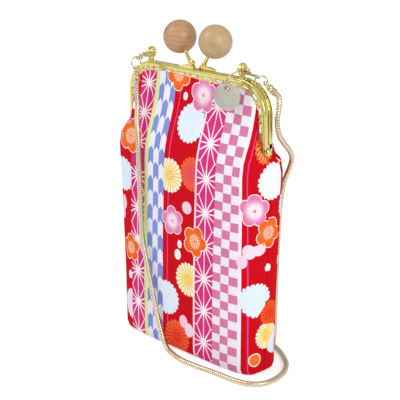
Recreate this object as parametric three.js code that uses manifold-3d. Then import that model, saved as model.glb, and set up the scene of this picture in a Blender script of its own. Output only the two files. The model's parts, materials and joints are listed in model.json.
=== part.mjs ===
// A clasp-frame phone purse: a tall cloth bag sewn to a hinged two-part brass frame, with a
// kiss lock of two wooden balls, a snake-chain shoulder strap on two lobster clasps and a disc charm.
// Millimetres, +Z up, +X along the frame, -Y the front. The origin is the middle of the bag's base.

import * as THREE from 'three';
import { mergeVertices } from 'three/addons/utils/BufferGeometryUtils.js';
import Module from 'manifold-3d';

const wasm = await Module();
wasm.setup();

// Clearances
const runningGap = 0.3;
const seatGap = 0.1;

// Clasp frame
const frameWidth = 117;
const frameTop = 176.6;
const hingeHeight = 137;
const cornerRadius = 20;
const rimThickness = 1.9;
const rimDepth = 3.3;
const rimRounding = 1.1;
const rimBackRounding = 0.35;
const flangeHeight = 5.9;
const flangeThickness = 0.7;
const scallopDepth = 1.3;
const scallopPitch = 5.45;
const threadHoleInset = 3.5;
const threadHoleLength = 2.1;
const threadHoleWidth = 1.5;
const threadHoleSides = 6;

// Hinge ears and rivets
const earRadius = 2.8;
const earThickness = 0.8;
const rivetDiameter = 1.6;
const rivetHeadDiameter = 3.8;
const rivetHeadHeight = 0.8;

// Kiss lock
const ballDiameter = 20;
const ballOffset = 15;
const ballHeight = 194.5;
const ballBoreDepth = 8;
const stemDiameter = 2.9;
const stemFootOffset = 2.6;
const lockPlateLength = 12.6;
const lockPlateWidth = 2.6;
const lockPlateThickness = 1.9;
const camDiameter = 4.2;

// Strap loops on the front half
const loopOffset = 39;
const loopHeight = 182;
const loopRadius = 2.85;
const loopWire = 2.2;
const loopFootLength = 7.2;
const loopFootWidth = 2.8;

// Lobster clasps, rings and chain caps
const hookRadius = 2.7;
const hookWidth = 1.2;
const claspThickness = 1.4;
const claspTailLength = 7.4;
const claspEyeDiameter = 4.4;
const claspEyeHole = 2.6;
const claspEyeThickness = 0.9;
const leverPinDiameter = 0.8;
const leverPinHead = 1.6;
const leverPinHeadHeight = 0.3;
const leverKnobDiameter = 2;
const jumpRingRadius = 3.6;
const jumpRingWire = 0.8;
const capDiameter = 4.2;
const capLength = 6;
const capEyeHole = 2.4;
const capEyeDiameter = 4;
const capEyeThickness = 0.9;
const chainDiameter = 3.2;

// Charm
const charmRingRadius = 6.3;
const charmRingWire = 0.9;
const charmRingLean = 48;
const charmRingTurn = 15;
const charmDiscDiameter = 16;
const charmDiscThickness = 0.9;
const charmDiscHole = 3.4;
const charmDiscHoleInset = 2.9;
const charmDiscTurn = 24;

// Cloth
const clothThickness = 0.9;
const liningThickness = 0.7;
const bagShoulder = 133.6;
const baseWidth = 114;
const baseDepth = 32;
const bellyWidth = 121;
const bellyDepth = 35;
const shoulderWidth = 109;

// Spare chain, laid down behind the bag
const coilRadius = 17.5;
const coilTurnsAcross = 3;
const coilTurnsHigh = 2;
const coilX = -6;
const coilY = 44;

const halfWidth = frameWidth / 2;
const halfGap = runningGap / 2;
const rimFront = halfGap + rimDepth;
const flangeBack = rimFront - flangeThickness;
const chainRadius = chainDiameter / 2;
const chainRest = chainRadius + 0.05;

const gold = { color: '#d9b23a', metalness: 1, roughness: 0.22 };
const paleGold = { color: '#d9cba0', metalness: 1, roughness: 0.3 };
const champagne = { color: '#c9c8b4', metalness: 0.9, roughness: 0.45 };
const beech = { color: '#bd9467', metalness: 0, roughness: 0.5 };
const darkWood = { color: '#a97a52', metalness: 0, roughness: 0.45 };
const redCotton = { color: '#d0021b', metalness: 0, roughness: 0.85 };
const liningCotton = { color: '#c41a2c', metalness: 0, roughness: 0.9 };

const part = new THREE.Group();
part.name = 'phone_purse';

function vec(x, y, z) {
  return new THREE.Vector3(x, y, z);
}

function addMesh(name, geometry, finish) {
  const mesh = new THREE.Mesh(geometry, new THREE.MeshStandardMaterial(finish));
  mesh.name = name;
  part.add(mesh);
  return mesh;
}

function solidOf(geometry) {
  const bare = geometry.clone();
  bare.deleteAttribute('normal');
  bare.deleteAttribute('uv');
  const merged = mergeVertices(bare, 1e-4);
  return new wasm.Manifold(new wasm.Mesh({
    numProp: 3,
    vertProperties: new Float32Array(merged.attributes.position.array),
    triVerts: new Uint32Array(merged.index.array),
  }));
}

function geometryOf(solid) {
  const mesh = solid.getMesh();
  const geometry = new THREE.BufferGeometry();
  geometry.setAttribute('position', new THREE.BufferAttribute(mesh.vertProperties, 3));
  geometry.setIndex(new THREE.BufferAttribute(mesh.triVerts, 1));
  return geometry;
}

function placed(geometry, origin, xAxis, yAxis) {
  const x = xAxis.clone().normalize();
  const z = x.clone().cross(yAxis).normalize();
  const y = z.clone().cross(x);
  const frame = new THREE.Matrix4().makeBasis(x, y, z).setPosition(origin);
  return geometry.clone().applyMatrix4(frame);
}

function extruded(shape, depth, segments = 4) {
  const flat = new THREE.ExtrudeGeometry(shape, { depth, bevelEnabled: false, curveSegments: segments });
  return flat.translate(0, 0, -depth / 2);
}

function disc(diameter, thickness, sides = 20) {
  return new THREE.CylinderGeometry(diameter / 2, diameter / 2, thickness, sides).rotateX(Math.PI / 2);
}

function box(low, high) {
  const size = high.clone().sub(low);
  const middle = high.clone().add(low).multiplyScalar(0.5);
  return new THREE.BoxGeometry(size.x, size.y, size.z).translate(middle.x, middle.y, middle.z);
}

// A closed loft through rings of points that all have the same count, capped at both ends.
function loft(rings) {
  const count = rings[0].length;
  const points = rings.flat();
  const index = [];
  for (let r = 0; r + 1 < rings.length; r += 1) {
    for (let i = 0; i < count; i += 1) {
      const a = r * count + i;
      const b = r * count + ((i + 1) % count);
      index.push(a, b, b + count, a, b + count, a + count);
    }
  }
  const first = points.length;
  const last = first + 1;
  for (const ring of [rings[0], rings[rings.length - 1]]) {
    const middle = vec(0, 0, 0);
    ring.forEach((point) => middle.add(point));
    points.push(middle.multiplyScalar(1 / count));
  }
  const top = (rings.length - 1) * count;
  for (let i = 0; i < count; i += 1) {
    const next = (i + 1) % count;
    index.push(first, next, i, last, top + i, top + next);
  }
  const geometry = new THREE.BufferGeometry().setFromPoints(points);
  geometry.setIndex(index);
  return geometry;
}

// Frame outline: an inverted U, walked from the left foot to the right foot.
const straightLeg = frameTop - cornerRadius - hingeHeight;
const cornerLength = cornerRadius * Math.PI / 2;
const topLength = frameWidth - 2 * cornerRadius;
const outlineLength = 2 * straightLeg + 2 * cornerLength + topLength;

// The point and the outward direction of the frame outline at a distance along it, in the XZ plane.
function outlineAt(distance) {
  const fromMiddle = distance - outlineLength / 2;
  const side = Math.sign(fromMiddle) || 1;
  const run = Math.abs(fromMiddle);
  if (run <= topLength / 2) {
    return { x: fromMiddle, z: frameTop, nx: 0, nz: 1 };
  }
  const pastTop = run - topLength / 2;
  if (pastTop < cornerLength) {
    const angle = pastTop / cornerRadius;
    const nx = side * Math.sin(angle);
    const nz = Math.cos(angle);
    const cornerX = side * (halfWidth - cornerRadius);
    return { x: cornerX + cornerRadius * nx, z: frameTop - cornerRadius + cornerRadius * nz, nx, nz };
  }
  return { x: side * halfWidth, z: frameTop - cornerRadius - (pastTop - cornerLength), nx: side, nz: 0 };
}

function insideOutline(distance, inset) {
  const at = outlineAt(distance);
  return new THREE.Vector2(at.x - at.nx * inset, at.z - at.nz * inset);
}

const cornerSteps = 6;
const outlineStations = [0, straightLeg];
for (let i = 1; i <= cornerSteps; i += 1) {
  outlineStations.push(straightLeg + cornerLength * i / cornerSteps);
}
for (let i = 0; i <= cornerSteps; i += 1) {
  outlineStations.push(straightLeg + cornerLength + topLength + cornerLength * i / cornerSteps);
}
outlineStations.push(outlineLength);

// The rolled rim of one frame half: a section swept round the outline.
function rimSolid(side) {
  const section = [
    [rimThickness, halfGap], [rimBackRounding, halfGap], [0, halfGap + rimBackRounding],
    [0, rimFront - rimRounding],
    [rimRounding * 0.3, rimFront - rimRounding * 0.3], [rimRounding, rimFront], [rimThickness, rimFront],
  ];
  const rings = outlineStations.map((distance) => section.map(([inset, out]) => {
    const point = insideOutline(distance, inset);
    return vec(point.x, side * out, point.y);
  }));
  if (side > 0) rings.forEach((ring) => ring.reverse());
  return solidOf(loft(rings));
}

// The flat sewing flange of one frame half: scalloped along its inner edge, with a hole in each scallop.
function flangeSolid(side) {
  const scallops = Math.floor(outlineLength / scallopPitch);
  const start = (outlineLength - scallops * scallopPitch) / 2;
  const shape = new THREE.Shape();
  const outer = outlineStations.map((distance) => insideOutline(distance, rimThickness / 2));
  const inner = [insideOutline(0, flangeHeight - scallopDepth)];
  const steps = 4;
  for (let k = 0; k < scallops; k += 1) {
    for (let i = 0; i < steps; i += 1) {
      const t = i / steps;
      const depth = flangeHeight - scallopDepth + scallopDepth * Math.sqrt(Math.sin(Math.PI * t));
      inner.push(insideOutline(start + (k + t) * scallopPitch, depth));
    }
  }
  inner.push(insideOutline(start + scallops * scallopPitch, flangeHeight - scallopDepth));
  inner.push(insideOutline(outlineLength, flangeHeight - scallopDepth));
  shape.setFromPoints([...inner, ...outer.reverse()]);
  for (let k = 0; k < scallops; k += 1) {
    const middle = start + (k + 0.5) * scallopPitch;
    const hole = new THREE.Path();
    const points = [];
    for (let i = 0; i < threadHoleSides; i += 1) {
      const angle = (i + 0.5) * 2 * Math.PI / threadHoleSides;
      const along = middle + Math.cos(angle) * threadHoleLength / 2;
      points.push(insideOutline(along, threadHoleInset + Math.sin(angle) * threadHoleWidth / 2));
    }
    hole.setFromPoints(points);
    shape.holes.push(hole);
  }
  const middleY = side * (flangeBack + flangeThickness / 2);
  return solidOf(extruded(shape, flangeThickness).rotateX(Math.PI / 2).translate(0, middleY, 0));
}

// The hinge axis runs along X at the feet of the frame. The front half's ears lie inside the back half's.
const earInnerX = halfWidth - rimThickness;
const frontEarX = earInnerX + earThickness / 2;
const backEarX = halfWidth - earThickness / 2;

function hingeCylinder(radius, lowX, highX, sides = 24) {
  const length = highX - lowX;
  const cylinder = new THREE.CylinderGeometry(radius, radius, length, sides).rotateZ(Math.PI / 2);
  return solidOf(cylinder.translate(lowX + length / 2, 0, hingeHeight));
}

function frameHalf(side) {
  let half = rimSolid(side).add(flangeSolid(side));
  const earX = side < 0 ? frontEarX : backEarX;
  const clearance = earRadius + runningGap;
  for (const end of [-1, 1]) {
    const ear = [end * (earX - earThickness / 2), end * (earX + earThickness / 2)].sort((a, b) => a - b);
    const outsideEar = [earX + earThickness / 2, halfWidth + 1];
    const insideEar = [earInnerX - 1, earX - earThickness / 2];
    const otherLayer = side < 0 ? outsideEar : insideEar;
    const cut = otherLayer.map((x) => end * x).sort((a, b) => a - b);
    half = half.subtract(hingeCylinder(clearance, cut[0], cut[1]));
    half = half.add(hingeCylinder(earRadius, ear[0], ear[1]));
    half = half.subtract(hingeCylinder(rivetDiameter / 2 + runningGap, ear[0] - 1, ear[1] + 1, 12));
    const nearHead = [end * (earInnerX - 3), end * earInnerX].sort((a, b) => a - b);
    half = half.subtract(hingeCylinder(clearance, nearHead[0], nearHead[1]));
  }
  return half;
}

addMesh('front_frame', geometryOf(frameHalf(-1)), gold);
addMesh('back_frame', geometryOf(frameHalf(1)), gold);

// A formed rivet: shank, a domed head outside and a flat head inside.
function rivet(end) {
  const inside = earInnerX - runningGap;
  const outside = halfWidth + runningGap;
  const shank = rivetDiameter / 2;
  const head = rivetHeadDiameter / 2;
  const profile = [
    [0, inside - rivetHeadHeight], [head * 0.85, inside - rivetHeadHeight], [head * 0.85, inside],
    [shank, inside], [shank, outside], [head, outside], [head * 0.85, outside + rivetHeadHeight * 0.55],
    [head * 0.45, outside + rivetHeadHeight * 0.92], [0, outside + rivetHeadHeight],
  ];
  const turned = new THREE.LatheGeometry(profile.map(([r, y]) => new THREE.Vector2(r, y)), 12);
  turned.rotateZ(-end * Math.PI / 2);
  return turned.translate(0, 0, hingeHeight);
}

addMesh('left_rivet', geometryOf(solidOf(rivet(-1))), gold);
addMesh('right_rivet', geometryOf(solidOf(rivet(1))), gold);

// Kiss lock: each half carries one stem with a ball; the stems lean apart in a V.
const lockY = halfGap + rimDepth / 2;
const lockPlateBase = frameTop + seatGap;

function lockAxis(end) {
  const foot = vec(end * stemFootOffset, 0, lockPlateBase + lockPlateThickness / 2);
  const ball = vec(end * ballOffset, 0, ballHeight);
  return { foot, ball, along: ball.clone().sub(foot).normalize() };
}

function lockStem(end, side) {
  const { foot, ball, along } = lockAxis(end);
  const tip = ball.clone().addScaledVector(along, -(ballDiameter / 2 - ballBoreDepth) - runningGap);
  const length = tip.distanceTo(foot);
  const radius = stemDiameter / 2;
  const profile = [
    [0, 0], [radius * 1.15, 0], [radius * 1.15, 2], [radius * 0.85, 3.4], [radius * 0.85, length - 7.6],
    [radius, length - 7], [radius, length], [0, length],
  ];
  const stem = new THREE.LatheGeometry(profile.map(([r, y]) => new THREE.Vector2(r, y)), 12);
  const upright = placed(stem, foot, vec(along.z, 0, -along.x), along);
  const plate = new THREE.Shape();
  const inner = 0.5;
  const outer = inner + lockPlateLength;
  plate.moveTo(inner, 0);
  plate.lineTo(outer, 0);
  plate.lineTo(outer, lockPlateThickness * 0.45);
  plate.quadraticCurveTo(outer * 0.75, lockPlateThickness, outer * 0.55, lockPlateThickness);
  plate.lineTo(inner, lockPlateThickness);
  const bar = extruded(plate, lockPlateWidth).rotateX(Math.PI / 2);
  if (end < 0) bar.rotateZ(Math.PI);
  bar.translate(0, 0, lockPlateBase);
  let solid = solidOf(upright).add(solidOf(bar));
  if (side < 0) {
    const cam = new THREE.SphereGeometry(camDiameter / 2, 12, 8);
    cam.translate(foot.x + end * 0.3, -0.15, foot.z + 2.4);
    solid = solid.add(solidOf(cam));
  }
  const below = box(vec(-halfWidth, -5, lockPlateBase - 6), vec(halfWidth, 5, lockPlateBase));
  return geometryOf(solid.subtract(solidOf(below))).translate(0, side * lockY, 0);
}

function woodBall(end, side) {
  const { ball, along } = lockAxis(end);
  const radius = ballDiameter / 2;
  const bore = stemDiameter / 2 + runningGap;
  const mouth = -Math.sqrt(radius * radius - bore * bore);
  const points = [[0, -radius + ballBoreDepth], [bore, -radius + ballBoreDepth], [bore, mouth]];
  const startAngle = Math.asin(bore / radius);
  const steps = 10;
  for (let i = 1; i < steps; i += 1) {
    const angle = startAngle + (Math.PI - startAngle) * i / steps;
    points.push([radius * Math.sin(angle), -radius * Math.cos(angle)]);
  }
  points.push([0, radius]);
  const turned = new THREE.LatheGeometry(points.map(([r, y]) => new THREE.Vector2(r, y)), 20);
  const set = placed(turned, ball, vec(along.z, 0, -along.x), along);
  return geometryOf(solidOf(set)).translate(0, side * lockY, 0);
}

addMesh('front_lock_stem', lockStem(-1, -1), gold);
addMesh('back_lock_stem', lockStem(1, 1), gold);
addMesh('left_wood_ball', woodBall(-1, -1), darkWood);
addMesh('right_wood_ball', woodBall(1, 1), beech);

// Strap loops: a ring whose hole faces along the frame, on a flared foot soldered to the front half.
function loopCentre(end) {
  return vec(end * loopOffset, -lockY, loopHeight);
}

function strapLoop(end) {
  const ring = new THREE.TorusGeometry(loopRadius, loopWire / 2, 8, 18).rotateY(Math.PI / 2);
  const foot = new THREE.Shape();
  const half = loopFootLength / 2;
  const base = frameTop + seatGap - loopHeight;
  const top = -loopRadius;
  foot.moveTo(-half, base);
  foot.lineTo(half, base);
  foot.lineTo(half, base + 0.5);
  foot.quadraticCurveTo(loopWire * 0.6, base + 0.8, loopWire / 2, top);
  foot.lineTo(-loopWire / 2, top);
  foot.quadraticCurveTo(-loopWire * 0.6, base + 0.8, -half, base + 0.5);
  const flared = extruded(foot, loopFootWidth).rotateX(Math.PI / 2);
  const solid = solidOf(ring).add(solidOf(flared));
  const centre = loopCentre(end);
  return geometryOf(solid).translate(centre.x, centre.y, centre.z);
}

addMesh('left_strap_loop', strapLoop(-1), gold);
addMesh('right_strap_loop', strapLoop(1), gold);

// Lobster clasp, drawn flat: the hook's ring is centred on the origin and the tail points along -Y.
const gateLow = -30;
const gateHigh = 62;
const pivotAngle = THREE.MathUtils.degToRad(gateLow - 12);
const pivotRadius = hookRadius + 0.35;
const leverPivot = new THREE.Vector2(pivotRadius * Math.cos(pivotAngle), pivotRadius * Math.sin(pivotAngle));
const pivotTab = leverPinDiameter / 2 + runningGap + 0.7;
const gateAngle = THREE.MathUtils.degToRad(gateHigh - 5);
const gateMiddle = new THREE.Vector2(hookRadius * Math.cos(gateAngle), hookRadius * Math.sin(gateAngle));
const gateReach = gateMiddle.distanceTo(leverPivot);
const layerThickness = claspThickness / 2 - seatGap;
const layerMiddle = claspThickness / 4 + seatGap / 2;

function arcBand(fromDegrees, toDegrees, radius, width, steps) {
  const shape = new THREE.Shape();
  const points = [];
  for (const [r, forward] of [[radius + width / 2, true], [radius - width / 2, false]]) {
    for (let i = 0; i <= steps; i += 1) {
      const t = forward ? i / steps : 1 - i / steps;
      const angle = THREE.MathUtils.degToRad(fromDegrees + (toDegrees - fromDegrees) * t);
      points.push(new THREE.Vector2(r * Math.cos(angle), r * Math.sin(angle)));
    }
  }
  shape.setFromPoints(points);
  return shape;
}

// The hook's nose and the lever's tip meet on an arc about the lever's pin, so the lever swings in freely.
function gateDisc(reach) {
  return solidOf(disc(2 * reach, 2 * claspThickness, 40).translate(leverPivot.x, leverPivot.y, 0));
}

function claspBody() {
  const noseBack = gateHigh + 23;
  const hookEnd = 360 + gateLow - 24;
  const hook = extruded(arcBand(noseBack, hookEnd, hookRadius, hookWidth, 13), claspThickness);
  const noseBand = arcBand(gateHigh - 25, noseBack + 2, hookRadius, hookWidth, 6);
  const nose = solidOf(extruded(noseBand, claspThickness)).subtract(gateDisc(gateReach + seatGap));
  const stem = new THREE.Shape();
  const shoulder = -hookRadius + 0.2;
  stem.moveTo(-2.5, shoulder);
  stem.quadraticCurveTo(-1.9, shoulder - 2.2, -1.1, -claspTailLength + 1);
  stem.lineTo(1.1, -claspTailLength + 1);
  stem.quadraticCurveTo(1.9, shoulder - 2.2, 1.9, shoulder);
  let solid = solidOf(hook).add(nose).add(solidOf(extruded(stem, claspThickness)));
  const inside = disc(2 * hookRadius - hookWidth, 4, 20);
  solid = solid.subtract(solidOf(inside));
  const halfTab = disc(pivotTab * 2, layerThickness, 10);
  halfTab.translate(leverPivot.x, leverPivot.y, -layerMiddle);
  const leverRoom = disc(pivotTab * 2 + 2 * runningGap, claspThickness, 10);
  leverRoom.translate(leverPivot.x, leverPivot.y, claspThickness / 2 - seatGap);
  solid = solid.add(solidOf(halfTab)).subtract(solidOf(leverRoom));
  const tailEnd = -claspTailLength;
  const tailCut = box(vec(-4, tailEnd - 4, claspEyeThickness / 2), vec(4, tailEnd + 2.3, 3));
  const eye = disc(claspEyeDiameter, claspEyeThickness, 14).translate(0, -claspTailLength, 0);
  const eyeHole = disc(claspEyeHole, 5, 12).translate(0, -claspTailLength, 0);
  solid = solid.subtract(solidOf(tailCut)).subtract(solidOf(tailCut.clone().rotateY(Math.PI)));
  solid = solid.add(solidOf(eye)).subtract(solidOf(eyeHole));
  const pinHole = disc(leverPinDiameter + 2 * runningGap, 5, 8).translate(leverPivot.x, leverPivot.y, 0);
  return geometryOf(solid.subtract(solidOf(pinHole)));
}

function claspLever() {
  const band = arcBand(gateLow + 8, gateHigh + 10, hookRadius, hookWidth, 7);
  const arc = solidOf(extruded(band, claspThickness - 2 * seatGap)).intersect(gateDisc(gateReach - seatGap));
  const foot = disc(pivotTab * 2, layerThickness, 10);
  foot.translate(leverPivot.x, leverPivot.y, layerMiddle + seatGap);
  const reach = new THREE.Shape();
  reach.moveTo(leverPivot.x - 0.3, leverPivot.y - 0.6);
  reach.lineTo(leverPivot.x + 2.3, leverPivot.y - 1);
  reach.lineTo(leverPivot.x + 2.3, leverPivot.y - 0.2);
  reach.lineTo(leverPivot.x + 0.9, leverPivot.y + 1.6);
  reach.lineTo(leverPivot.x - 0.3, leverPivot.y + 1.6);
  const blade = extruded(reach, layerThickness).translate(0, 0, layerMiddle + seatGap);
  const knob = new THREE.SphereGeometry(leverKnobDiameter / 2, 10, 6);
  knob.translate(leverPivot.x + 2.4, leverPivot.y - 0.7, claspThickness / 4);
  const pinHole = disc(leverPinDiameter + 2 * runningGap, 5, 8).translate(leverPivot.x, leverPivot.y, 0);
  const tabRoom = disc(pivotTab * 2 + 2 * runningGap, claspThickness, 10);
  tabRoom.translate(leverPivot.x, leverPivot.y, 1.5 * seatGap - claspThickness / 2);
  const gate = arc.subtract(solidOf(tabRoom));
  const solid = gate.add(solidOf(foot)).add(solidOf(blade)).add(solidOf(knob));
  return geometryOf(solid.subtract(solidOf(pinHole)));
}

function claspPin() {
  const shank = leverPinDiameter / 2;
  const head = leverPinHead / 2;
  const reach = claspThickness / 2 + 1.5 * runningGap;
  const end = reach + leverPinHeadHeight;
  const profile = [
    [0, -end], [head, -end], [head, -reach], [shank, -reach],
    [shank, reach], [head, reach], [head * 0.7, end], [0, end],
  ];
  const pin = new THREE.LatheGeometry(profile.map(([r, y]) => new THREE.Vector2(r, y)), 8);
  return geometryOf(solidOf(pin.rotateX(Math.PI / 2).translate(leverPivot.x, leverPivot.y, 0)));
}

// How each clasp sits: the hook passes through its loop along the frame, the ring's centre lies
// in the lean direction and the tail is turned from there towards the frame's end.
function claspSeat(end, lean, turnDegrees, shift) {
  const turn = THREE.MathUtils.degToRad(turnDegrees);
  const across = vec(1, 0, 0);
  const ringCentre = loopCentre(end).add(shift).addScaledVector(lean, hookRadius);
  const tail = lean.clone().multiplyScalar(Math.cos(turn)).addScaledVector(across, Math.sin(turn));
  const side = across.clone().multiplyScalar(Math.cos(turn)).addScaledVector(lean, -Math.sin(turn));
  return { ringCentre, tail, side, eye: ringCentre.clone().addScaledVector(tail, claspTailLength) };
}

const leftSeat = claspSeat(-1, vec(0, -0.968, -0.25), 0, vec(0, 0, 0.15));
const rightSeat = claspSeat(1, vec(0, 0.75, -0.66).normalize(), 58, vec(0, 0.3, 0.42));

function addClasp(name, seat, knobSide) {
  const side = seat.side.clone().multiplyScalar(knobSide);
  const up = seat.tail.clone().negate();
  addMesh(`${name}_clasp_body`, placed(claspBody(), seat.ringCentre, side, up), paleGold);
  addMesh(`${name}_clasp_lever`, placed(claspLever(), seat.ringCentre, side, up), paleGold);
  addMesh(`${name}_clasp_pin`, placed(claspPin(), seat.ringCentre, side, up), paleGold);
}

addClasp('left', leftSeat, -1);
addClasp('right', rightSeat, 1);

// Jump rings: each hangs in its clasp's eye and holds the eye of a chain cap at its far side.
function ringGeometry(radius, wire, centre, xAxis, yAxis) {
  return placed(new THREE.TorusGeometry(radius, wire / 2, 8, 18), centre, xAxis, yAxis);
}

const leftRingCentre = leftSeat.eye.clone().add(vec(0, -2.7, -2.4));
const leftCapEye = leftRingCentre.clone().add(vec(0, 0, -jumpRingRadius));
const leftCapAxis = vec(0, 0, -1);
const rightRingRun = vec(0.86, 0.15, -0.48).normalize();
const rightRingRise = vec(0, 0.95, 0.3).normalize();
const rightRingCentre = rightSeat.eye.clone().addScaledVector(rightRingRun, jumpRingRadius);
const rightCapEye = rightRingCentre.clone().addScaledVector(rightRingRun, jumpRingRadius);
const rightCapAxis = vec(0.75, 0.2, -0.63).normalize();

function jumpRing(centre, xAxis, yAxis) {
  return ringGeometry(jumpRingRadius, jumpRingWire, centre, xAxis, yAxis);
}

addMesh('left_jump_ring', jumpRing(leftRingCentre, vec(0, 1, 0), vec(0, 0, 1)), paleGold);
addMesh('right_jump_ring', jumpRing(rightRingCentre, rightRingRun, rightRingRise), paleGold);

// Chain caps: a flat eye on a turned cup that is crimped on the end of the chain.
function chainCap(eye, axis, holeAxis) {
  const radius = capDiameter / 2;
  const neck = capEyeDiameter / 2 - 0.4;
  const profile = [
    [0, neck], [radius * 0.55, neck], [radius, neck + 0.9], [radius, neck + 2.2], [radius * 0.88, neck + 2.6],
    [radius * 0.88, neck + 3.2], [radius, neck + 3.6], [radius, neck + capLength], [0, neck + capLength],
  ];
  const cup = new THREE.LatheGeometry(profile.map(([r, y]) => new THREE.Vector2(r, y)), 12);
  const ear = disc(capEyeDiameter, capEyeThickness, 12);
  const hole = disc(capEyeHole, 5, 10);
  const solid = solidOf(cup).add(solidOf(ear)).subtract(solidOf(hole));
  return placed(geometryOf(solid), eye, axis.clone().cross(holeAxis), axis);
}

function capEnd(eye, axis) {
  return eye.clone().addScaledVector(axis, capEyeDiameter / 2 - 0.4 + capLength);
}

addMesh('left_chain_cap', chainCap(leftCapEye, leftCapAxis, vec(0, 1, 0)), paleGold);
addMesh('right_chain_cap', chainCap(rightCapEye, rightCapAxis, rightRingRise), paleGold);

// The snake chain. Its points are chosen by hand: down the front, round the right side, and behind,
// where both strands run up beside the coil of spare chain.
const coilOuterRadius = coilRadius + coilTurnsAcross * chainDiameter / 2;
const coilSideBySide = coilOuterRadius + chainRadius + runningGap;
const leftChainStart = capEnd(leftCapEye, leftCapAxis).addScaledVector(leftCapAxis, runningGap);
const rightChainStart = capEnd(rightCapEye, rightCapAxis).addScaledVector(rightCapAxis, runningGap);

const leftChainPoints = [
  leftChainStart, leftChainStart.clone().addScaledVector(leftCapAxis, 5), vec(-38, -14.6, 152),
  vec(-36.2, -16.6, 145), vec(-33.4, -18.9, 138), vec(-31.6, -20, 129), vec(-30.9, -20.2, 112),
  vec(-30, -20.2, 90), vec(-28.6, -20.2, 68), vec(-25, -20.1, 54), vec(-20.5, -19.9, 36),
  vec(-15.4, -19.5, 18), vec(-10.6, -20, 7), vec(-5, -21.6, 2.4), vec(3, -24, chainRest),
  vec(13, -26, chainRest), vec(25, -25.8, chainRest), vec(40.7, -24, chainRest), vec(54.5, -23, chainRest),
  vec(64, -20.6, chainRest), vec(70, -14.6, chainRest), vec(71.2, -5, chainRest), vec(68, 6.5, chainRest),
  vec(61, 16.4, chainRest), vec(52, 23.2, chainRest), vec(42, 28.8, chainRest), vec(32, 32.6, chainRest),
  vec(24.6, 36.4, chainRest), vec(20, 40.4, chainRest), vec(coilX + coilSideBySide, 44.6, chainRest),
];

const rightChainPoints = [
  rightChainStart, rightChainStart.clone().addScaledVector(rightCapAxis, 2.5), vec(60.9, 5.4, 163),
  vec(61.1, 4.1, 157), vec(61.1, 4.3, 151), vec(61.2, 6.6, 145), vec(61.2, 10.4, 140.4),
  vec(61, 14.6, 136), vec(59.6, 18.6, 130.5), vec(56, 20.8, 123.5), vec(52, 21, 114), vec(49, 20.8, 95),
  vec(47.6, 20.6, 60), vec(47, 20.4, 25), vec(46.2, 20.2, 10), vec(43.4, 20.3, 4),
  vec(37.6, 20.6, chainRest + 0.15),
  vec(30, 20.6, chainRest), vec(18, 20.3, chainRest), vec(6, 19.9, chainRest),
  vec(-4, coilY - coilSideBySide, chainRest),
];

function chainTube(points, steps) {
  const route = new THREE.CatmullRomCurve3(points, false, 'centripetal');
  const section = new THREE.Shape();
  const sides = 8;
  const corners = [];
  for (let i = 0; i < sides; i += 1) {
    const angle = (i + 0.5) * 2 * Math.PI / sides;
    corners.push(new THREE.Vector2(chainRadius * Math.cos(angle), chainRadius * Math.sin(angle)));
  }
  section.setFromPoints(corners);
  return new THREE.ExtrudeGeometry(section, { steps, bevelEnabled: false, extrudePath: route });
}

addMesh('left_strap_chain', geometryOf(solidOf(chainTube(leftChainPoints, 46))), paleGold);
addMesh('right_strap_chain', geometryOf(solidOf(chainTube(rightChainPoints, 34))), paleGold);

// The length of chain that isn't laid out: turns side by side in two layers, as one ring.
function coilRing() {
  const inner = coilOuterRadius - coilTurnsAcross * chainDiameter;
  const outer = coilOuterRadius;
  const height = coilTurnsHigh * chainDiameter;
  const round = chainRadius * 0.6;
  const profile = [
    [inner + round, 0], [outer - round, 0], [outer, round], [outer, height - round],
    [outer - round, height], [inner + round, height], [inner, height - round], [inner, round],
    [inner + round, 0],
  ];
  const ring = new THREE.LatheGeometry(profile.map(([r, y]) => new THREE.Vector2(r, y)), 28);
  return geometryOf(solidOf(ring.rotateX(Math.PI / 2).translate(coilX, coilY, 0)));
}

addMesh('strap_coil', coilRing(), paleGold);

// Charm: a thin ring through the right loop, leaning forward over the flange, with a plain pierced disc.
const ringTurn = THREE.MathUtils.degToRad(charmRingTurn);
const ringLean = THREE.MathUtils.degToRad(charmRingLean);
const charmAcross = vec(Math.cos(ringTurn), -Math.sin(ringTurn), 0);
const charmForward = vec(-Math.sin(ringTurn), -Math.cos(ringTurn), 0);
const charmDown = charmForward.multiplyScalar(Math.sin(ringLean)).setZ(-Math.cos(ringLean));
const charmHang = loopCentre(1).add(vec(0, -0.75, -0.72));
const charmRingCentre = charmHang.clone().addScaledVector(charmDown, charmRingRadius);
const charmRingFoot = charmHang.clone().addScaledVector(charmDown, 2 * charmRingRadius);

const charmRing = ringGeometry(charmRingRadius, charmRingWire, charmRingCentre, charmAcross, charmDown);
addMesh('charm_ring', charmRing, paleGold);

function charmDisc() {
  const radius = charmDiscDiameter / 2;
  const rim = 0.35;
  const half = charmDiscThickness / 2;
  const field = half - 0.15;
  const profile = [
    [0, -field], [radius - 1, -field], [radius - 0.8, -half], [radius - rim, -half], [radius, rim - half],
    [radius, half - rim], [radius - rim, half], [radius - 0.8, half], [radius - 1, field], [0, field],
  ];
  const turned = new THREE.LatheGeometry(profile.map(([r, y]) => new THREE.Vector2(r, y)), 28);
  const holeDrop = radius - charmDiscHoleInset;
  const hole = disc(charmDiscHole, 5, 12).rotateX(Math.PI / 2).translate(0, 0, holeDrop);
  const solid = solidOf(turned).subtract(solidOf(hole));
  const turn = THREE.MathUtils.degToRad(charmDiscTurn);
  const centre = charmRingFoot.clone().add(vec(0, 0, -holeDrop - 0.5));
  return geometryOf(solid).rotateZ(turn).translate(centre.x, centre.y, centre.z);
}

addMesh('charm_disc', charmDisc(), champagne);

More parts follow.
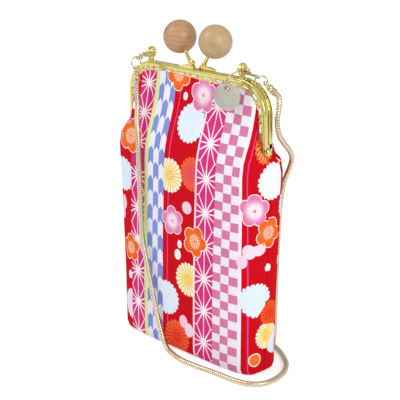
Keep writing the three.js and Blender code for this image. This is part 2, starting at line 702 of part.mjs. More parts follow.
// Cloth. The bag is a loft of rounded rectangles; above the hinge it narrows to pass inside the frame.
const mouthInset = flangeHeight + 0.6;
const mouthHalf = halfWidth - mouthInset;
const bagRings = [
  { z: 0, width: baseWidth - 9, depth: baseDepth - 7 },
  { z: 1.6, width: baseWidth - 3, depth: baseDepth - 2 },
  { z: 6, width: baseWidth, depth: baseDepth },
  { z: 60, width: baseWidth + 2, depth: (baseDepth + bellyDepth) / 2 },
  { z: 105, width: bellyWidth - 2, depth: bellyDepth },
  { z: 124, width: bellyWidth, depth: bellyDepth - 0.5 },
  { z: 130.5, width: bellyWidth - 3.5, depth: bellyDepth - 2.5 },
  { z: bagShoulder, width: shoulderWidth, depth: bellyDepth - 5 },
  { z: 138.5, width: 2 * mouthHalf, depth: bellyDepth - 8 },
  { z: 146, width: 2 * mouthHalf, depth: 20.5 },
  { z: 154, width: 2 * mouthHalf, depth: 14 },
  { z: 162, width: 2 * mouthHalf, depth: 9 },
  { z: frameTop - flangeHeight, width: 2 * mouthHalf, depth: 2 * (flangeBack - runningGap) },
  { z: frameTop, width: 2 * mouthHalf, depth: 2 * (flangeBack - runningGap) },
];
const cornerPower = 4;
const ringPoints = 24;

function bagRing(ring, inset) {
  const points = [];
  for (let i = 0; i < ringPoints; i += 1) {
    const angle = (i + 0.5) * 2 * Math.PI / ringPoints;
    const c = Math.cos(angle);
    const s = Math.sin(angle);
    const reach = (Math.abs(c) ** cornerPower + Math.abs(s) ** cornerPower) ** (-1 / cornerPower);
    const z = Math.max(ring.z, inset);
    points.push(vec(c * reach * (ring.width / 2 - inset), s * reach * (ring.depth / 2 - inset), z));
  }
  return points;
}

// The bag's outer form, drawn in by an inset on every side. The inner form runs on past the top.
function bagForm(inset) {
  const kept = bagRings.filter((ring) => ring.z === 0 || ring.z > inset + 0.5);
  const rings = kept.map((ring) => bagRing(ring, inset));
  if (inset > 0) {
    const last = rings[rings.length - 1];
    rings.push(last.map((point) => point.clone().setZ(frameTop + 5)));
  }
  return solidOf(loft(rings));
}

// What fits inside the frame outline, drawn in by an inset and run through in Y; open below the hinge.
function insideFrame(inset) {
  const points = outlineStations.map((distance) => insideOutline(distance, inset));
  points.unshift(new THREE.Vector2(-halfWidth - 20, -1), new THREE.Vector2(-halfWidth - 20, bagShoulder),
    new THREE.Vector2(points[0].x, bagShoulder));
  points.push(new THREE.Vector2(points[points.length - 1].x, bagShoulder),
    new THREE.Vector2(halfWidth + 20, bagShoulder), new THREE.Vector2(halfWidth + 20, -1));
  const shape = new THREE.Shape().setFromPoints(points);
  return solidOf(extruded(shape, 80).rotateX(Math.PI / 2));
}

// The flat hem behind a flange: a thin strip that follows the frame, on one side.
function hem(side, outY, thickness, reach) {
  const outer = outlineStations.map((distance) => insideOutline(distance, rimThickness + runningGap));
  const inner = outlineStations.map((distance) => insideOutline(distance, reach));
  const shape = new THREE.Shape().setFromPoints([...outer, ...inner.reverse()]);
  const strip = extruded(shape, thickness).rotateX(Math.PI / 2);
  return solidOf(strip.translate(0, side * (outY - thickness / 2), 0));
}

function clothWall(inset, thickness) {
  return bagForm(inset).subtract(bagForm(inset + thickness)).intersect(insideFrame(mouthInset + inset));
}

function halfSpace(side, nearY, lowZ, highZ) {
  const near = side * nearY;
  const far = side * 60;
  return solidOf(box(vec(-90, Math.min(near, far), lowZ), vec(90, Math.max(near, far), highZ)));
}

function bagCloth(inset, thickness) {
  const whole = clothWall(inset, thickness);
  const hemOut = flangeBack - runningGap - inset;
  const rivetRoom = [-1, 1].map((end) => {
    const ends = [end * (earInnerX - 2.5), end * (halfWidth + 3)].sort((a, b) => a - b);
    return hingeCylinder(earRadius + 2 * runningGap, ends[0], ends[1]);
  });
  const hemIn = hemOut - thickness;
  const reach = mouthInset + inset + thickness;
  const panel = (side, lowZ) => whole.intersect(halfSpace(side, hemIn, lowZ, frameTop + 9))
    .add(hem(side, hemOut, thickness, reach));
  const below = solidOf(box(vec(-90, -60, -1), vec(90, 60, bagShoulder)));
  const cloth = {
    bag: whole.intersect(below).add(panel(-1, bagShoulder - 1)),
    backMouth: panel(1, bagShoulder + runningGap),
  };
  for (const room of rivetRoom) {
    cloth.bag = cloth.bag.subtract(room);
    cloth.backMouth = cloth.backMouth.subtract(room);
  }
  return cloth;
}

const outer = bagCloth(0, clothThickness);
const lining = bagCloth(clothThickness + runningGap, liningThickness);
addMesh('outer_bag', geometryOf(outer.bag), redCotton);
addMesh('back_mouth_fabric', geometryOf(outer.backMouth), redCotton);
addMesh('lining_bag', geometryOf(lining.bag), liningCotton);
addMesh('back_mouth_lining', geometryOf(lining.backMouth), liningCotton);

export default part;
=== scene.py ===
"""A phone purse of printed cotton, sewn to a hinged and gold-plated clasp frame, in metres.

The purse stands on its base with -Y as the front. Each operator makes one piece or one group of
like pieces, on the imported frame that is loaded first.
"""

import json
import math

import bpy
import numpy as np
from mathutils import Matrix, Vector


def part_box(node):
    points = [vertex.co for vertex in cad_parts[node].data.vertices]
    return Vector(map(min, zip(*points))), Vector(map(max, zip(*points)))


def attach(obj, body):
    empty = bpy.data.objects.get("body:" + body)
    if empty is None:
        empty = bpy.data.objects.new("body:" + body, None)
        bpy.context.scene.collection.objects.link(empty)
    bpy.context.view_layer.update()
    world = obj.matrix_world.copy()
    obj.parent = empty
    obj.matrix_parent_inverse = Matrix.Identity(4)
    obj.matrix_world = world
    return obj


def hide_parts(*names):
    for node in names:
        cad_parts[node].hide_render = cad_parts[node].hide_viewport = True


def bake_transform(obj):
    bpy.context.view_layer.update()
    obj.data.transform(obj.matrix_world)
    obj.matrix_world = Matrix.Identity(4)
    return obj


bl_info = {
    "name": "Clasp-frame phone purse",
    "version": (1, 0, 0),
    "blender": (4, 5, 0),
    "location": "3D View > Sidebar > Purse",
    "description": "A printed cotton phone purse on a hinged clasp frame, with a chain strap and a charm",
    "category": "Add Mesh",
}

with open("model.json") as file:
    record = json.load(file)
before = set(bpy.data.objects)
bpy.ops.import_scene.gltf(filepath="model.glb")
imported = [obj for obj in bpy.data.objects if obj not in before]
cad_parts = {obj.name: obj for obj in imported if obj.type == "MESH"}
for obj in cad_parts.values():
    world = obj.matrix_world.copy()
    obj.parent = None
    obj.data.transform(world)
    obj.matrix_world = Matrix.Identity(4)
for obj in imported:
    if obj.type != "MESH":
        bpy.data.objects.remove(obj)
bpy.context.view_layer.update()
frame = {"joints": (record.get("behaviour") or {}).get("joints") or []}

MM = 0.001
FRONT, BACK = -1, 1
LEFT, RIGHT = -1, 1

# The clasp frame's sizes, from its packed halves and their hinge
frame_low, frame_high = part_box("front_frame")
HALF_WIDTH = frame_high.x
FRAME_TOP = frame_high.z
RIM_FRONT = -frame_low.y
HALF_GAP = 0.15 * MM
HINGE_HEIGHT = next(j["pos_m"][2] for j in frame["joints"] if j["name"] == "frame_hinge")
CORNER_RADIUS = 20 * MM
RIM_THICKNESS = 1.9 * MM
FLANGE_HEIGHT = 5.9 * MM
FLANGE_BACK = RIM_FRONT - 0.7 * MM
EAR_RADIUS = 2.8 * MM
EAR_THICKNESS = 0.8 * MM
STRAIGHT_LEG = FRAME_TOP - CORNER_RADIUS - HINGE_HEIGHT
CORNER_LENGTH = CORNER_RADIUS * math.pi / 2
TOP_LENGTH = 2 * (HALF_WIDTH - CORNER_RADIUS)
OUTLINE_LENGTH = 2 * STRAIGHT_LEG + 2 * CORNER_LENGTH + TOP_LENGTH
LOCK_Y = (HALF_GAP + RIM_FRONT) / 2

# The flange's scallops, with a thread hole in each
SCALLOP_PITCH = 5.45 * MM
SCALLOP_DEPTH = 1.3 * MM
SCALLOPS = int(OUTLINE_LENGTH / SCALLOP_PITCH)
FIRST_SCALLOP = (OUTLINE_LENGTH - SCALLOPS * SCALLOP_PITCH) / 2
THREAD_HOLE_INSET = 3.5 * MM
THREAD_HOLE_HALF_LENGTH = 1.05 * MM
THREAD_HOLE_HALF_WIDTH = 0.75 * MM

# Where the hardware sits on the frame
LOOP_CENTRE = np.array((39, 0, 182)) * MM + np.array((0, -LOCK_Y, 0))
LOOP_RADIUS = 2.85 * MM
LOOP_WIRE = 2.2 * MM
HOOK_RADIUS = 2.7 * MM
CLASP_TAIL = 7.4 * MM
JUMP_RING_RADIUS = 3.6 * MM
CAP_EYE_RADIUS = 2.0 * MM
CAP_LENGTH = 6.0 * MM
CHAIN_DIAMETER = 3.2 * MM
CHAIN_REST = CHAIN_DIAMETER / 2 + 0.05 * MM

# Chain points, listed one by one: down the front, round the right side and behind the bag
FRONT_CHAIN = (
    (-0.0380, -0.0146, 0.1520), (-0.0362, -0.0166, 0.1450), (-0.0334, -0.0189, 0.1380),
    (-0.0316, -0.0200, 0.1290), (-0.0309, -0.0202, 0.1120), (-0.0300, -0.0202, 0.0900),
    (-0.0286, -0.0202, 0.0680), (-0.0250, -0.0201, 0.0540), (-0.0205, -0.0199, 0.0360),
    (-0.0154, -0.0195, 0.0180), (-0.0106, -0.0200, 0.0070), (-0.0050, -0.0216, 0.0024),
    (0.0030, -0.0240, CHAIN_REST), (0.0130, -0.0260, CHAIN_REST), (0.0250, -0.0258, CHAIN_REST),
    (0.0407, -0.0240, CHAIN_REST), (0.0545, -0.0230, CHAIN_REST), (0.0640, -0.0206, CHAIN_REST),
    (0.0700, -0.0146, CHAIN_REST), (0.0712, -0.0050, CHAIN_REST), (0.0680, 0.0065, CHAIN_REST),
    (0.0610, 0.0164, CHAIN_REST), (0.0520, 0.0232, CHAIN_REST), (0.0420, 0.0288, CHAIN_REST),
    (0.0320, 0.0326, CHAIN_REST), (0.0246, 0.0364, CHAIN_REST),
)
BACK_CHAIN = (
    (0.0609, 0.0054, 0.1630), (0.0611, 0.0041, 0.1570), (0.0611, 0.0043, 0.1510),
    (0.0612, 0.0066, 0.1450), (0.0612, 0.0104, 0.1404), (0.0610, 0.0146, 0.1360),
    (0.0596, 0.0186, 0.1305), (0.0560, 0.0208, 0.1235), (0.0520, 0.0210, 0.1140),
    (0.0490, 0.0208, 0.0950), (0.0476, 0.0206, 0.0600), (0.0470, 0.0204, 0.0250),
    (0.0462, 0.0202, 0.0100), (0.0434, 0.0203, 0.0040), (0.0376, 0.0206, CHAIN_REST),
    (0.0300, 0.0206, CHAIN_REST), (0.0180, 0.0203, CHAIN_REST),
)


def vec(x, y, z):
    return np.array((x, y, z), float)


def unit(v):
    v = np.asarray(v, float)
    return v / np.linalg.norm(v)


def linear(code):
    """The linear colour of an sRGB hex value; a colour from the settings is linear already."""
    if not isinstance(code, str):
        return tuple(code)
    parts = [int(code[i:i + 2], 16) / 255 for i in (1, 3, 5)]
    return tuple(c / 12.92 if c <= 0.04045 else ((c + 0.055) / 1.055) ** 2.4 for c in parts) + (1.0,)


# Mesh building

def grid_faces(rows, columns, around=False, along=False):
    """Quads over a grid of points, with its columns or its rows joined up to the first ones if asked."""
    faces = []
    for r in range(rows if along else rows - 1):
        for c in range(columns if around else columns - 1):
            a = r * columns + c
            b = r * columns + (c + 1) % columns
            down = ((r + 1) % rows) * columns
            faces.append((a, b, down + (c + 1) % columns, down + c))
    return faces


def lofted(rings, closed=False, capped=True):
    """Points and faces of a skin through equal rings of points."""
    rings = np.asarray(rings, float)
    rows, columns = rings.shape[:2]
    faces = grid_faces(rows, columns, around=True, along=closed)
    if capped and not closed:
        faces.append(tuple(range(columns))[::-1])
        faces.append(tuple(range((rows - 1) * columns, rows * columns)))
    return rings.reshape(-1, 3), faces


def joined(parts):
    """Several sets of points and faces as one."""
    points, faces = [], []
    for more_points, more_faces in parts:
        start = sum(len(p) for p in points)
        points.append(np.asarray(more_points, float))
        faces.extend(tuple(i + start for i in face) for face in more_faces)
    return np.concatenate(points), faces


def placed(points, origin, x_axis, y_axis):
    """Points from a flat drawing's own axes into the row frame."""
    x = unit(x_axis)
    z = unit(np.cross(x, y_axis))
    y = np.cross(z, x)
    return np.asarray(points) @ np.array((x, y, z)) + origin


def turned(profile, steps=32):
    """A lathe shape about the Y axis from (radius, height) points, whose ends lie on the axis."""
    rings = []
    for radius, height in profile:
        angles = np.arange(steps) * 2 * math.pi / steps
        radius = max(radius, 1e-6)
        rings.append(np.stack((radius * np.cos(angles), np.full(steps, height), -radius * np.sin(angles)), 1))
    return lofted(rings)


def rounded(profile, radius, steps=4):
    """A profile with each inner corner replaced by an arc-like curve of about that radius."""
    profile = np.asarray(profile, float)
    made = [profile[0]]
    for before, corner, after in zip(profile, profile[1:], profile[2:]):
        reach = min(radius, 0.45 * np.linalg.norm(corner - before), 0.45 * np.linalg.norm(after - corner))
        start = corner + unit(before - corner) * reach
        end = corner + unit(after - corner) * reach
        for i in range(steps + 1):
            t = i / steps
            made.append((1 - t) ** 2 * start + 2 * t * (1 - t) * corner + t * t * end)
    made.append(profile[-1])
    return np.array(made)


def ring(radius, wire, steps=48, sides=14):
    """A round wire ring in the XY plane."""
    angles = np.arange(steps) * 2 * math.pi / steps
    around = np.arange(sides) * 2 * math.pi / sides
    reach = radius + wire / 2 * np.cos(around)[None, :]
    points = np.stack((reach * np.cos(angles)[:, None], reach * np.sin(angles)[:, None],
                       np.repeat(wire / 2 * np.sin(around)[None, :], steps, 0)), 2)
    return lofted(points, closed=True)


def slab(outline, low, high, edge):
    """A flat plate along Z from an outline in the XY plane, with its edges eased."""
    outline = np.asarray(outline, float)
    middle = outline.mean(0)
    span = np.abs(outline - middle).max()
    inner = middle + (outline - middle) * (1 - edge / span)
    levels = ((inner, low), (outline, low + edge), (outline, high - edge), (inner, high))
    return lofted([np.column_stack((shape, np.full(len(shape), z))) for shape, z in levels])


def frames_along(path):
    """Tangent, side and up at each point of a path, carried along with no twist."""
    path = np.asarray(path, float)
    tangents = np.gradient(path, axis=0)
    tangents /= np.linalg.norm(tangents, axis=1)[:, None]
    up = vec(0, 0, 1) if abs(tangents[0][2]) < 0.9 else vec(0, 1, 0)
    sides, ups = [], []
    for tangent in tangents:
        side = unit(np.cross(tangent, up))
        up = np.cross(side, tangent)
        sides.append(side)
        ups.append(up)
    return tangents, np.array(sides), np.array(ups)


def oval(count, power=2.0):
    """Points round a unit oval, which is a circle at power 2 and boxier above it."""
    angles = (np.arange(count) + 0.5) * 2 * math.pi / count
    c, s = np.cos(angles), np.sin(angles)
    reach = (np.abs(c) ** power + np.abs(s) ** power) ** (-1 / power)
    return c * reach, s * reach


def swept(path, widths, heights, sides=12, power=2.0):
    """A bar along a path, with a rounded section whose width and height change along it."""
    _, side, up = frames_along(path)
    across, upward = oval(sides, power)
    rings = []
    for k, point in enumerate(np.asarray(path, float)):
        rings.append(point + np.outer(across * widths[k] / 2, side[k])
                     + np.outer(upward * heights[k] / 2, up[k]))
    return lofted(rings)


def smooth_route(points, spacing):
    """A centripetal Catmull-Rom curve through the points, resampled at even spacing."""
    points = np.asarray(points, float)
    points = np.concatenate(([2 * points[0] - points[1]], points, [2 * points[-1] - points[-2]]))
    dense = []
    for p0, p1, p2, p3 in zip(points, points[1:], points[2:], points[3:]):
        knots = np.cumsum([0] + [np.linalg.norm(b - a) ** 0.5 for a, b in ((p0, p1), (p1, p2), (p2, p3))])
        for t in np.linspace(knots[1], knots[2], 14, endpoint=False):
            a1 = p0 + (p1 - p0) * (t - knots[0]) / (knots[1] - knots[0])
            a2 = p1 + (p2 - p1) * (t - knots[1]) / (knots[2] - knots[1])
            a3 = p2 + (p3 - p2) * (t - knots[2]) / (knots[3] - knots[2])
            b1 = a1 + (a2 - a1) * (t - knots[0]) / (knots[2] - knots[0])
            b2 = a2 + (a3 - a2) * (t - knots[1]) / (knots[3] - knots[1])
            dense.append(b1 + (b2 - b1) * (t - knots[1]) / (knots[2] - knots[1]))
    dense.append(points[-2])
    return even(np.array(dense), spacing)


def even(path, spacing):
    lengths = np.concatenate(([0], np.cumsum(np.linalg.norm(np.diff(path, axis=0), axis=1))))
    count = max(2, round(lengths[-1] / spacing) + 1)
    at = np.linspace(0, lengths[-1], count)
    return np.stack([np.interp(at, lengths, path[:, k]) for k in range(3)], 1)


def mesh_piece(name, shape, material, sharp_degrees=40):
    """A new smooth-shaded mesh object from points and faces."""
    points, faces = shape
    mesh = bpy.data.meshes.new(name)
    mesh.from_pydata([tuple(p) for p in points], [], faces)
    mesh.validate()
    mesh.shade_smooth()
    mesh.set_sharp_from_angle(angle=math.radians(sharp_degrees))
    mesh.materials.append(material)
    piece = bpy.data.objects.new(name, mesh)
    bpy.context.scene.collection.objects.link(piece)
    return piece


def set_on(piece, body, slot, *nodes):
    """Ride a piece on its body and hide the nodes that it stands for; the slot is not used."""
    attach(piece, body)
    if nodes:
        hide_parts(*nodes)
    return piece


# Materials

def add(tree, kind, *inputs, out=0, **settings):
    """Add a node with its settings and inputs, and give back one of its outputs."""
    node = tree.nodes.new(kind)
    for key, value in settings.items():
        setattr(node, key, value)
    for index, value in enumerate(inputs):
        if isinstance(value, bpy.types.NodeSocket):
            tree.links.new(value, node.inputs[index])
        elif value is not None:
            node.inputs[index].default_value = value
    return node.outputs[out]


class Field:
    """A number that varies over a surface, so that node arithmetic reads as plain arithmetic."""

    def __init__(self, tree, socket):
        self.tree = tree
        self.socket = socket

    def made(self, operation, first, second=0.0):
        sockets = [x.socket if isinstance(x, Field) else x for x in (first, second)]
        return Field(self.tree, add(self.tree, "ShaderNodeMath", *sockets, operation=operation))

    def __add__(self, other):
        return self.made("ADD", self, other)

    def __sub__(self, other):
        return self.made("SUBTRACT", self, other)

    def __rsub__(self, other):
        return self.made("SUBTRACT", other, self)

    def __mul__(self, other):
        return self.made("MULTIPLY", self, other)

    def __truediv__(self, other):
        return self.made("DIVIDE", self, other)

    def __gt__(self, other):
        return self.made("GREATER_THAN", self, other)

    def __lt__(self, other):
        return self.made("LESS_THAN", self, other)

    def __abs__(self):
        return self.made("ABSOLUTE", self)

    def wrapped(self, period):
        return self.made("FLOORED_MODULO", self, period)

    def floor(self):
        return self.made("FLOOR", self)

    def cosine(self):
        return self.made("COSINE", self)

    def smaller(self, other):
        return self.made("MINIMUM", self, other)

    def larger(self, other):
        return self.made("MAXIMUM", self, other)

    def between(self, low, high):
        return (self > low) * (self < high)


def new_material(name, colour, metallic, roughness):
    """A material with its principled shader, whose even values are set on the shader itself."""
    material = bpy.data.materials.new(name)
    material.use_nodes = True
    material.diffuse_color = linear(colour)
    shader = material.node_tree.nodes["Principled BSDF"]
    shader.inputs["Base Color"].default_value = linear(colour)
    shader.inputs["Metallic"].default_value = metallic
    shader.inputs["Roughness"].default_value = roughness
    return material, material.node_tree, shader


def mixed(tree, factor, first, second):
    """The colour between two colours at a factor, each a hex value or a socket."""
    sides = [c if isinstance(c, bpy.types.NodeSocket) else linear(c) for c in (first, second)]
    factor = factor.socket if isinstance(factor, Field) else factor
    return add(tree, "ShaderNodeMixRGB", factor, *sides)


def finish_variation(tree, shader, scale_mm, colour, darker, low, high):
    """Handled plating: slight changes of tone and polish, in patches of the given size."""
    where = add(tree, "ShaderNodeTexCoord", out="Object")
    patches = add(tree, "ShaderNodeTexNoise", where, None, 1 / (scale_mm * MM), 3.0, 0.55)
    tree.links.new(mixed(tree, patches, colour, darker), shader.inputs["Base Color"])
    rough = add(tree, "ShaderNodeMapRange", patches, 0.3, 0.7, low, high)
    tree.links.new(rough, shader.inputs["Roughness"])
    return where


def gold_plating(look):
    """Bright yellow gold plating on pressed brass: mirror-like, with a faint ripple from the press."""
    material, tree, shader = new_material("gold plated brass", "#e8db86", 1.0, 0.12)
    where = finish_variation(tree, shader, 6, look.gold, look.gold_shade, 0.08, 0.16)
    ripple = add(tree, "ShaderNodeTexNoise", where, None, 1 / (2.2 * MM), 2.0, 0.5)
    bump = add(tree, "ShaderNodeBump", 0.06, 0.2 * MM, None, ripple)
    tree.links.new(bump, shader.inputs["Normal"])
    return material


def gold_flange():
    """Stamped and tumbled gold plate: the flat sewing flange is duller than the rolled rim."""
    material, tree, shader = new_material("tumbled gold plate", "#ddd188", 1.0, 0.3)
    where = finish_variation(tree, shader, 4, "#e3d992", "#cfc06c", 0.26, 0.38)
    grit = add(tree, "ShaderNodeTexNoise", where, None, 1 / (0.7 * MM), 4.0, 0.6)
    bump = add(tree, "ShaderNodeBump", 0.2, 0.1 * MM, None, grit)
    tree.links.new(bump, shader.inputs["Normal"])
    return material


def pale_gold(look):
    """Pale gold plating on zinc castings and wire rings: polished, lighter and greyer than the frame."""
    material, tree, shader = new_material("pale gold plated castings", "#dccfa4", 1.0, 0.2)
    finish_variation(tree, shader, 3, look.pale_gold, "#c9b787", 0.15, 0.3)
    return material


def chain_plating(look):
    """Pale gold plated snake chain: satin, with painted shade darkening the grooves between its links."""
    material, tree, shader = new_material("pale gold plated snake chain", "#dccfb0", 1.0, 0.3)
    groove = add(tree, "ShaderNodeAttribute", out="Fac", attribute_name="groove")
    # Painted shade: the groove rows are mixed toward a dark brown
    tree.links.new(mixed(tree, groove, look.chain, "#8f7c5c"), shader.inputs["Base Color"])
    rough = add(tree, "ShaderNodeMapRange", groove, 0.0, 1.0, 0.26, 0.5)
    tree.links.new(rough, shader.inputs["Roughness"])
    return material


def struck_nickel(look):
    """Struck and tumbled nickel silver: a soft grey champagne face with fine grain."""
    material, tree, shader = new_material("struck nickel silver", "#cfcfc4", 0.85, 0.42)
    where = finish_variation(tree, shader, 3.5, look.charm, "#b9b9a8", 0.36, 0.52)
    grain = add(tree, "ShaderNodeTexNoise", where, None, 1 / (0.9 * MM), 4.0, 0.6)
    bump = add(tree, "ShaderNodeBump", 0.35, 0.15 * MM, None, grain)
    tree.links.new(bump, shader.inputs["Normal"])
    return material


def turned_wood(name, pale, mid, dark, ring_mm, turn, streak):
    """Turned and waxed hardwood: soft growth rings cut by the ball as arcs, and fine pores."""
    material, tree, shader = new_material(name, mid, 0.0, 0.42)
    where = add(tree, "ShaderNodeTexCoord", out="Object")
    laid = add(tree, "ShaderNodeMapping", where, None, turn, (1, 1, 1))
    rings = add(tree, "ShaderNodeTexWave", laid, 1 / (ring_mm * MM) / 3.14, 1.6, 2.0, 1.2, 0.5,
                wave_type="RINGS", rings_direction="Y", out="Fac")
    stretched = add(tree, "ShaderNodeMapping", laid, None, None, (1, 0.1, 1))
    pores = add(tree, "ShaderNodeTexNoise", stretched, None, 1 / (0.6 * MM), 2.0, 0.5)
    broad = add(tree, "ShaderNodeTexNoise", laid, None, 1 / (10 * MM), 2.0, 0.5)
    spread = add(tree, "ShaderNodeMapRange", broad, 0.46, 0.66, 0.0, streak)
    arcs = add(tree, "ShaderNodeMapRange", rings, 0.2, 0.9, 0.0, 0.5)
    colour = mixed(tree, arcs, pale, mid)
    colour = mixed(tree, spread, colour, dark)
    fleck = add(tree, "ShaderNodeMapRange", pores, 0.54, 0.72, 0.0, 0.28)
    colour = mixed(tree, fleck, colour, dark)
    tree.links.new(colour, shader.inputs["Base Color"])
    bump = add(tree, "ShaderNodeBump", 0.15, 0.1 * MM, None, pores)
    tree.links.new(bump, shader.inputs["Normal"])
    shader.inputs["Coat Weight"].default_value = 0.1
    shader.inputs["Coat Roughness"].default_value = 0.35
    return material


def sewing_thread(look):
    """Thick twisted white cotton thread: matte, with the twist as slanting ribs and painted shade in the
    grooves between them.
    """
    material, tree, shader = new_material("white cotton thread", "#f1efe9", 0.0, 0.8)
    where = add(tree, "ShaderNodeTexCoord", out="Object")
    twist = add(tree, "ShaderNodeTexWave", where, 1 / (0.9 * MM) / 6.3, 1.0, 2.0, 1.0, 0.5,
                bands_direction="DIAGONAL", out="Fac")
    # Painted shade: the twist's grooves are mixed toward grey, its crests toward the thread's own white
    tree.links.new(mixed(tree, twist, "#dcd8d0", look.thread), shader.inputs["Base Color"])
    bump = add(tree, "ShaderNodeBump", 0.5, 0.15 * MM, None, twist)
    tree.links.new(bump, shader.inputs["Normal"])
    shader.inputs["Sheen Weight"].default_value = 0.2
    return material


# The print, in millimetres over one cut panel of cloth: U across from its middle, V up from its foot.
RED = "#cd0016"
WHITE_INK = "#f2ecf4"
MAGENTA = "#da2f7d"
LINE_PINK = "#e5418f"
LEFT_STARS = (-44.6, -31.0)
GREEN_BAND = (-31.0, -27.9)
FEATHERS = (-27.9, -13.4)
WHITE_EDGE = (14.1, 15.4)
RIGHT_STARS = (14.3, 30.7)
CHEQUERS = (30.7, 49.6)
WHITE_BORDER = (49.6, 51.9)
THIN_LINES = (-9.2, 55.8)
THIN_LINE_HALF = 0.45
PLUMS = (
    # U, V, radius, turn in degrees, petal, heart
    (-11.5, 172.5, 10.2, 270, "#f2661e", "#f47b3a"),
    (10.8, 163.2, 10.8, 92, "#e480b6", "#f4dcec"),
    (-5.0, 85.2, 9.6, 100, "#e480b6", "#f4d6e9"),
    (15.0, 76.5, 10.2, 70, "#f2661e", "#f47b3a"),
    (-46, 131, 10.8, 80, "#f2661e", "#f47b3a"),
    (-45, 57.5, 9.4, 95, "#f2661e", "#f47b3a"),
    (60.0, 104, 10.4, 88, "#e480b6", "#f4dcec"),
    (70.0, 89.4, 9.8, 60, "#f2661e", "#f47b3a"),
)
CHRYSANTHEMUMS = (
    (4.2, 146.5, 11.2, 0, "#e2effc", "#dfecfb"),
    (-8.0, 113.5, 10.8, 10, "#fdf6e2", "#f2c52c"),
    (11.7, 118, 10.5, 5, "#f2661e", "#e8456a"),
    (9.6, 50.4, 10.8, 0, "#fdf3d2", "#f2c52c"),
    (-9.8, 33.5, 11.2, 8, "#e2effc", "#dfecfb"),
    (-0.6, 9.5, 11.0, 12, "#f2693a", "#e0261e"),
    (-53, 105, 11.0, 0, "#e2effc", "#dfecfb"),
    (-43.6, 18.6, 10.6, 5, "#f5e6f5", "#f0dcf0"),
    (67.5, 141, 10.5, 0, "#f2661e", "#f6c79a"),
    (73.0, 120, 11.0, 12, "#eef2fb", "#f0f3fb"),
    (61.0, 48.4, 10.8, 0, "#e2effc", "#dfecfb"),
    (69.2, 24.5, 8.8, 8, "#fdf3d2", "#f2c52c"),
    (72.0, 38, 8.0, 0, "#f2661e", "#e0301a"),
    (77.5, 19, 8.6, 8, "#e2effc", "#dfecfb"),
    (-70, 136, 10.0, 0, "#f8eed2", "#efc62f"),
)
SPOTS = (
    # U, V, half width, half height, tint
    (7.4, 96.2, 4.1, 3.9, "#f0cfe0"),
    (1.8, 71.5, 1.9, 2.6, "#f7f3f6"),
    (0.2, 64.5, 2.8, 3.4, "#f7f3f6"),
    (-49.5, 148.5, 2.0, 2.4, "#f7f3f6"),
    (-53.5, 141.0, 3.4, 4.4, "#eaa9cd"),
    (-53, 86, 3.3, 5.0, "#f3cfe2"),
    (-55, 79, 3.3, 4.6, "#f3cfe2"),
    (-46.5, 38.5, 2.3, 2.9, "#f7f3f6"),
    (-4.2, 160.5, 1.6, 2.4, "#f7f3f6"),
    (5.5, 21.5, 3.6, 4.2, "#f4cadc"),
    (10.5, 17.0, 3.8, 4.6, "#f6d9e6"),
    (52.0, 72.6, 3.6, 4.2, "#f4d3e4"),
    (56.6, 79.0, 4.2, 4.4, "#f6dbe9"),
    (62.6, 79.8, 5.0, 3.4, "#f6dbe9"),
    (69.6, 67.5, 2.4, 2.4, "#f7f3f6"),
    (60.4, 10.4, 4.4, 4.4, "#fbe6cf"),
    (60.4, 10.4, 3.6, 3.6, "#f2742a"),
    (-62, 70, 2.6, 3.2, "#f7f3f6"),
    (-60, 24, 3.8, 4.2, "#f4cadc"),
)


# Colour sockets hold no negative number, so a flower's middle passes through them moved by this much
SOCKET_SHIFT = 100


def nearest(tree, point, marks):
    """Of the marks on the cloth, the one that lies nearest: its middle, tints, turn and distance."""
    centre = tints = turn = least = None
    for u, v, size, degrees, *codes in marks:
        distance = Field(tree, add(tree, "ShaderNodeVectorMath", point, (u, v, 0), operation="DISTANCE",
                                   out="Value"))
        if least is None:
            centre, tints = (u + SOCKET_SHIFT, v, size, 1), [linear(c) for c in codes]
            turn, least = math.radians(degrees), distance
            continue
        closer = distance < least
        least = least.smaller(distance)
        centre = add(tree, "ShaderNodeMixRGB", closer.socket, centre, (u + SOCKET_SHIFT, v, size, 1))
        tints = [mixed(tree, closer, a, linear(code)) for a, code in zip(tints, codes)]
        turn = closer * math.radians(degrees) + (closer * -1.0 + 1.0) * turn
    return centre, tints, turn, least


def polar(tree, point, centre, turn, least):
    """Distance from a flower's centre in its own radii, and the angle from its first petal."""
    away = add(tree, "ShaderNodeVectorMath", point, centre, operation="SUBTRACT")
    away = add(tree, "ShaderNodeVectorMath", away, (SOCKET_SHIFT, 0, 0), operation="ADD")
    x = Field(tree, add(tree, "ShaderNodeSeparateXYZ", away, out="X"))
    y = Field(tree, add(tree, "ShaderNodeSeparateXYZ", away, out="Y"))
    size = Field(tree, add(tree, "ShaderNodeSeparateXYZ", centre, out="Z"))
    return least / size, x.made("ARCTAN2", y, x) - turn


def folded(angle, count):
    """An angle measured from the middle of the nearest of some equal petals."""
    petal = 2 * math.pi / count
    return (angle + petal / 2).wrapped(petal) - petal / 2


def plum_flowers(tree, colour, point):
    """Five round petals with a cream outline, a ring of stamens drawn as dashes and a small eye."""
    centre, (petal, heart), turn, least = nearest(tree, point, PLUMS)
    r, angle = polar(tree, point, centre, turn, least)
    across = folded(angle, 5).cosine()
    petal_out, petal_size, outline = 0.56, 0.44, 0.05
    squared = r * r - r * across * (2 * petal_out) + petal_out ** 2
    from_petal = squared.made("SQRT", squared)
    cream = "#fbeee2"
    shaded = mixed(tree, ((r - 0.3) * 2.6).smaller(1.0).larger(0.0), heart, petal)
    stamens = ((angle * 16).cosine() > 0.1) * r.between(0.2, 0.44)
    body = mixed(tree, stamens * 0.85, shaded, cream)
    body = mixed(tree, r.between(0.1, 0.15), body, cream)
    body = mixed(tree, r < 0.1, body, petal)
    heart_disc = r < 0.4
    body = mixed(tree, (from_petal > petal_size - outline) * (heart_disc * -1.0 + 1.0), body, cream)
    return mixed(tree, (from_petal < petal_size).larger(heart_disc), colour, body)


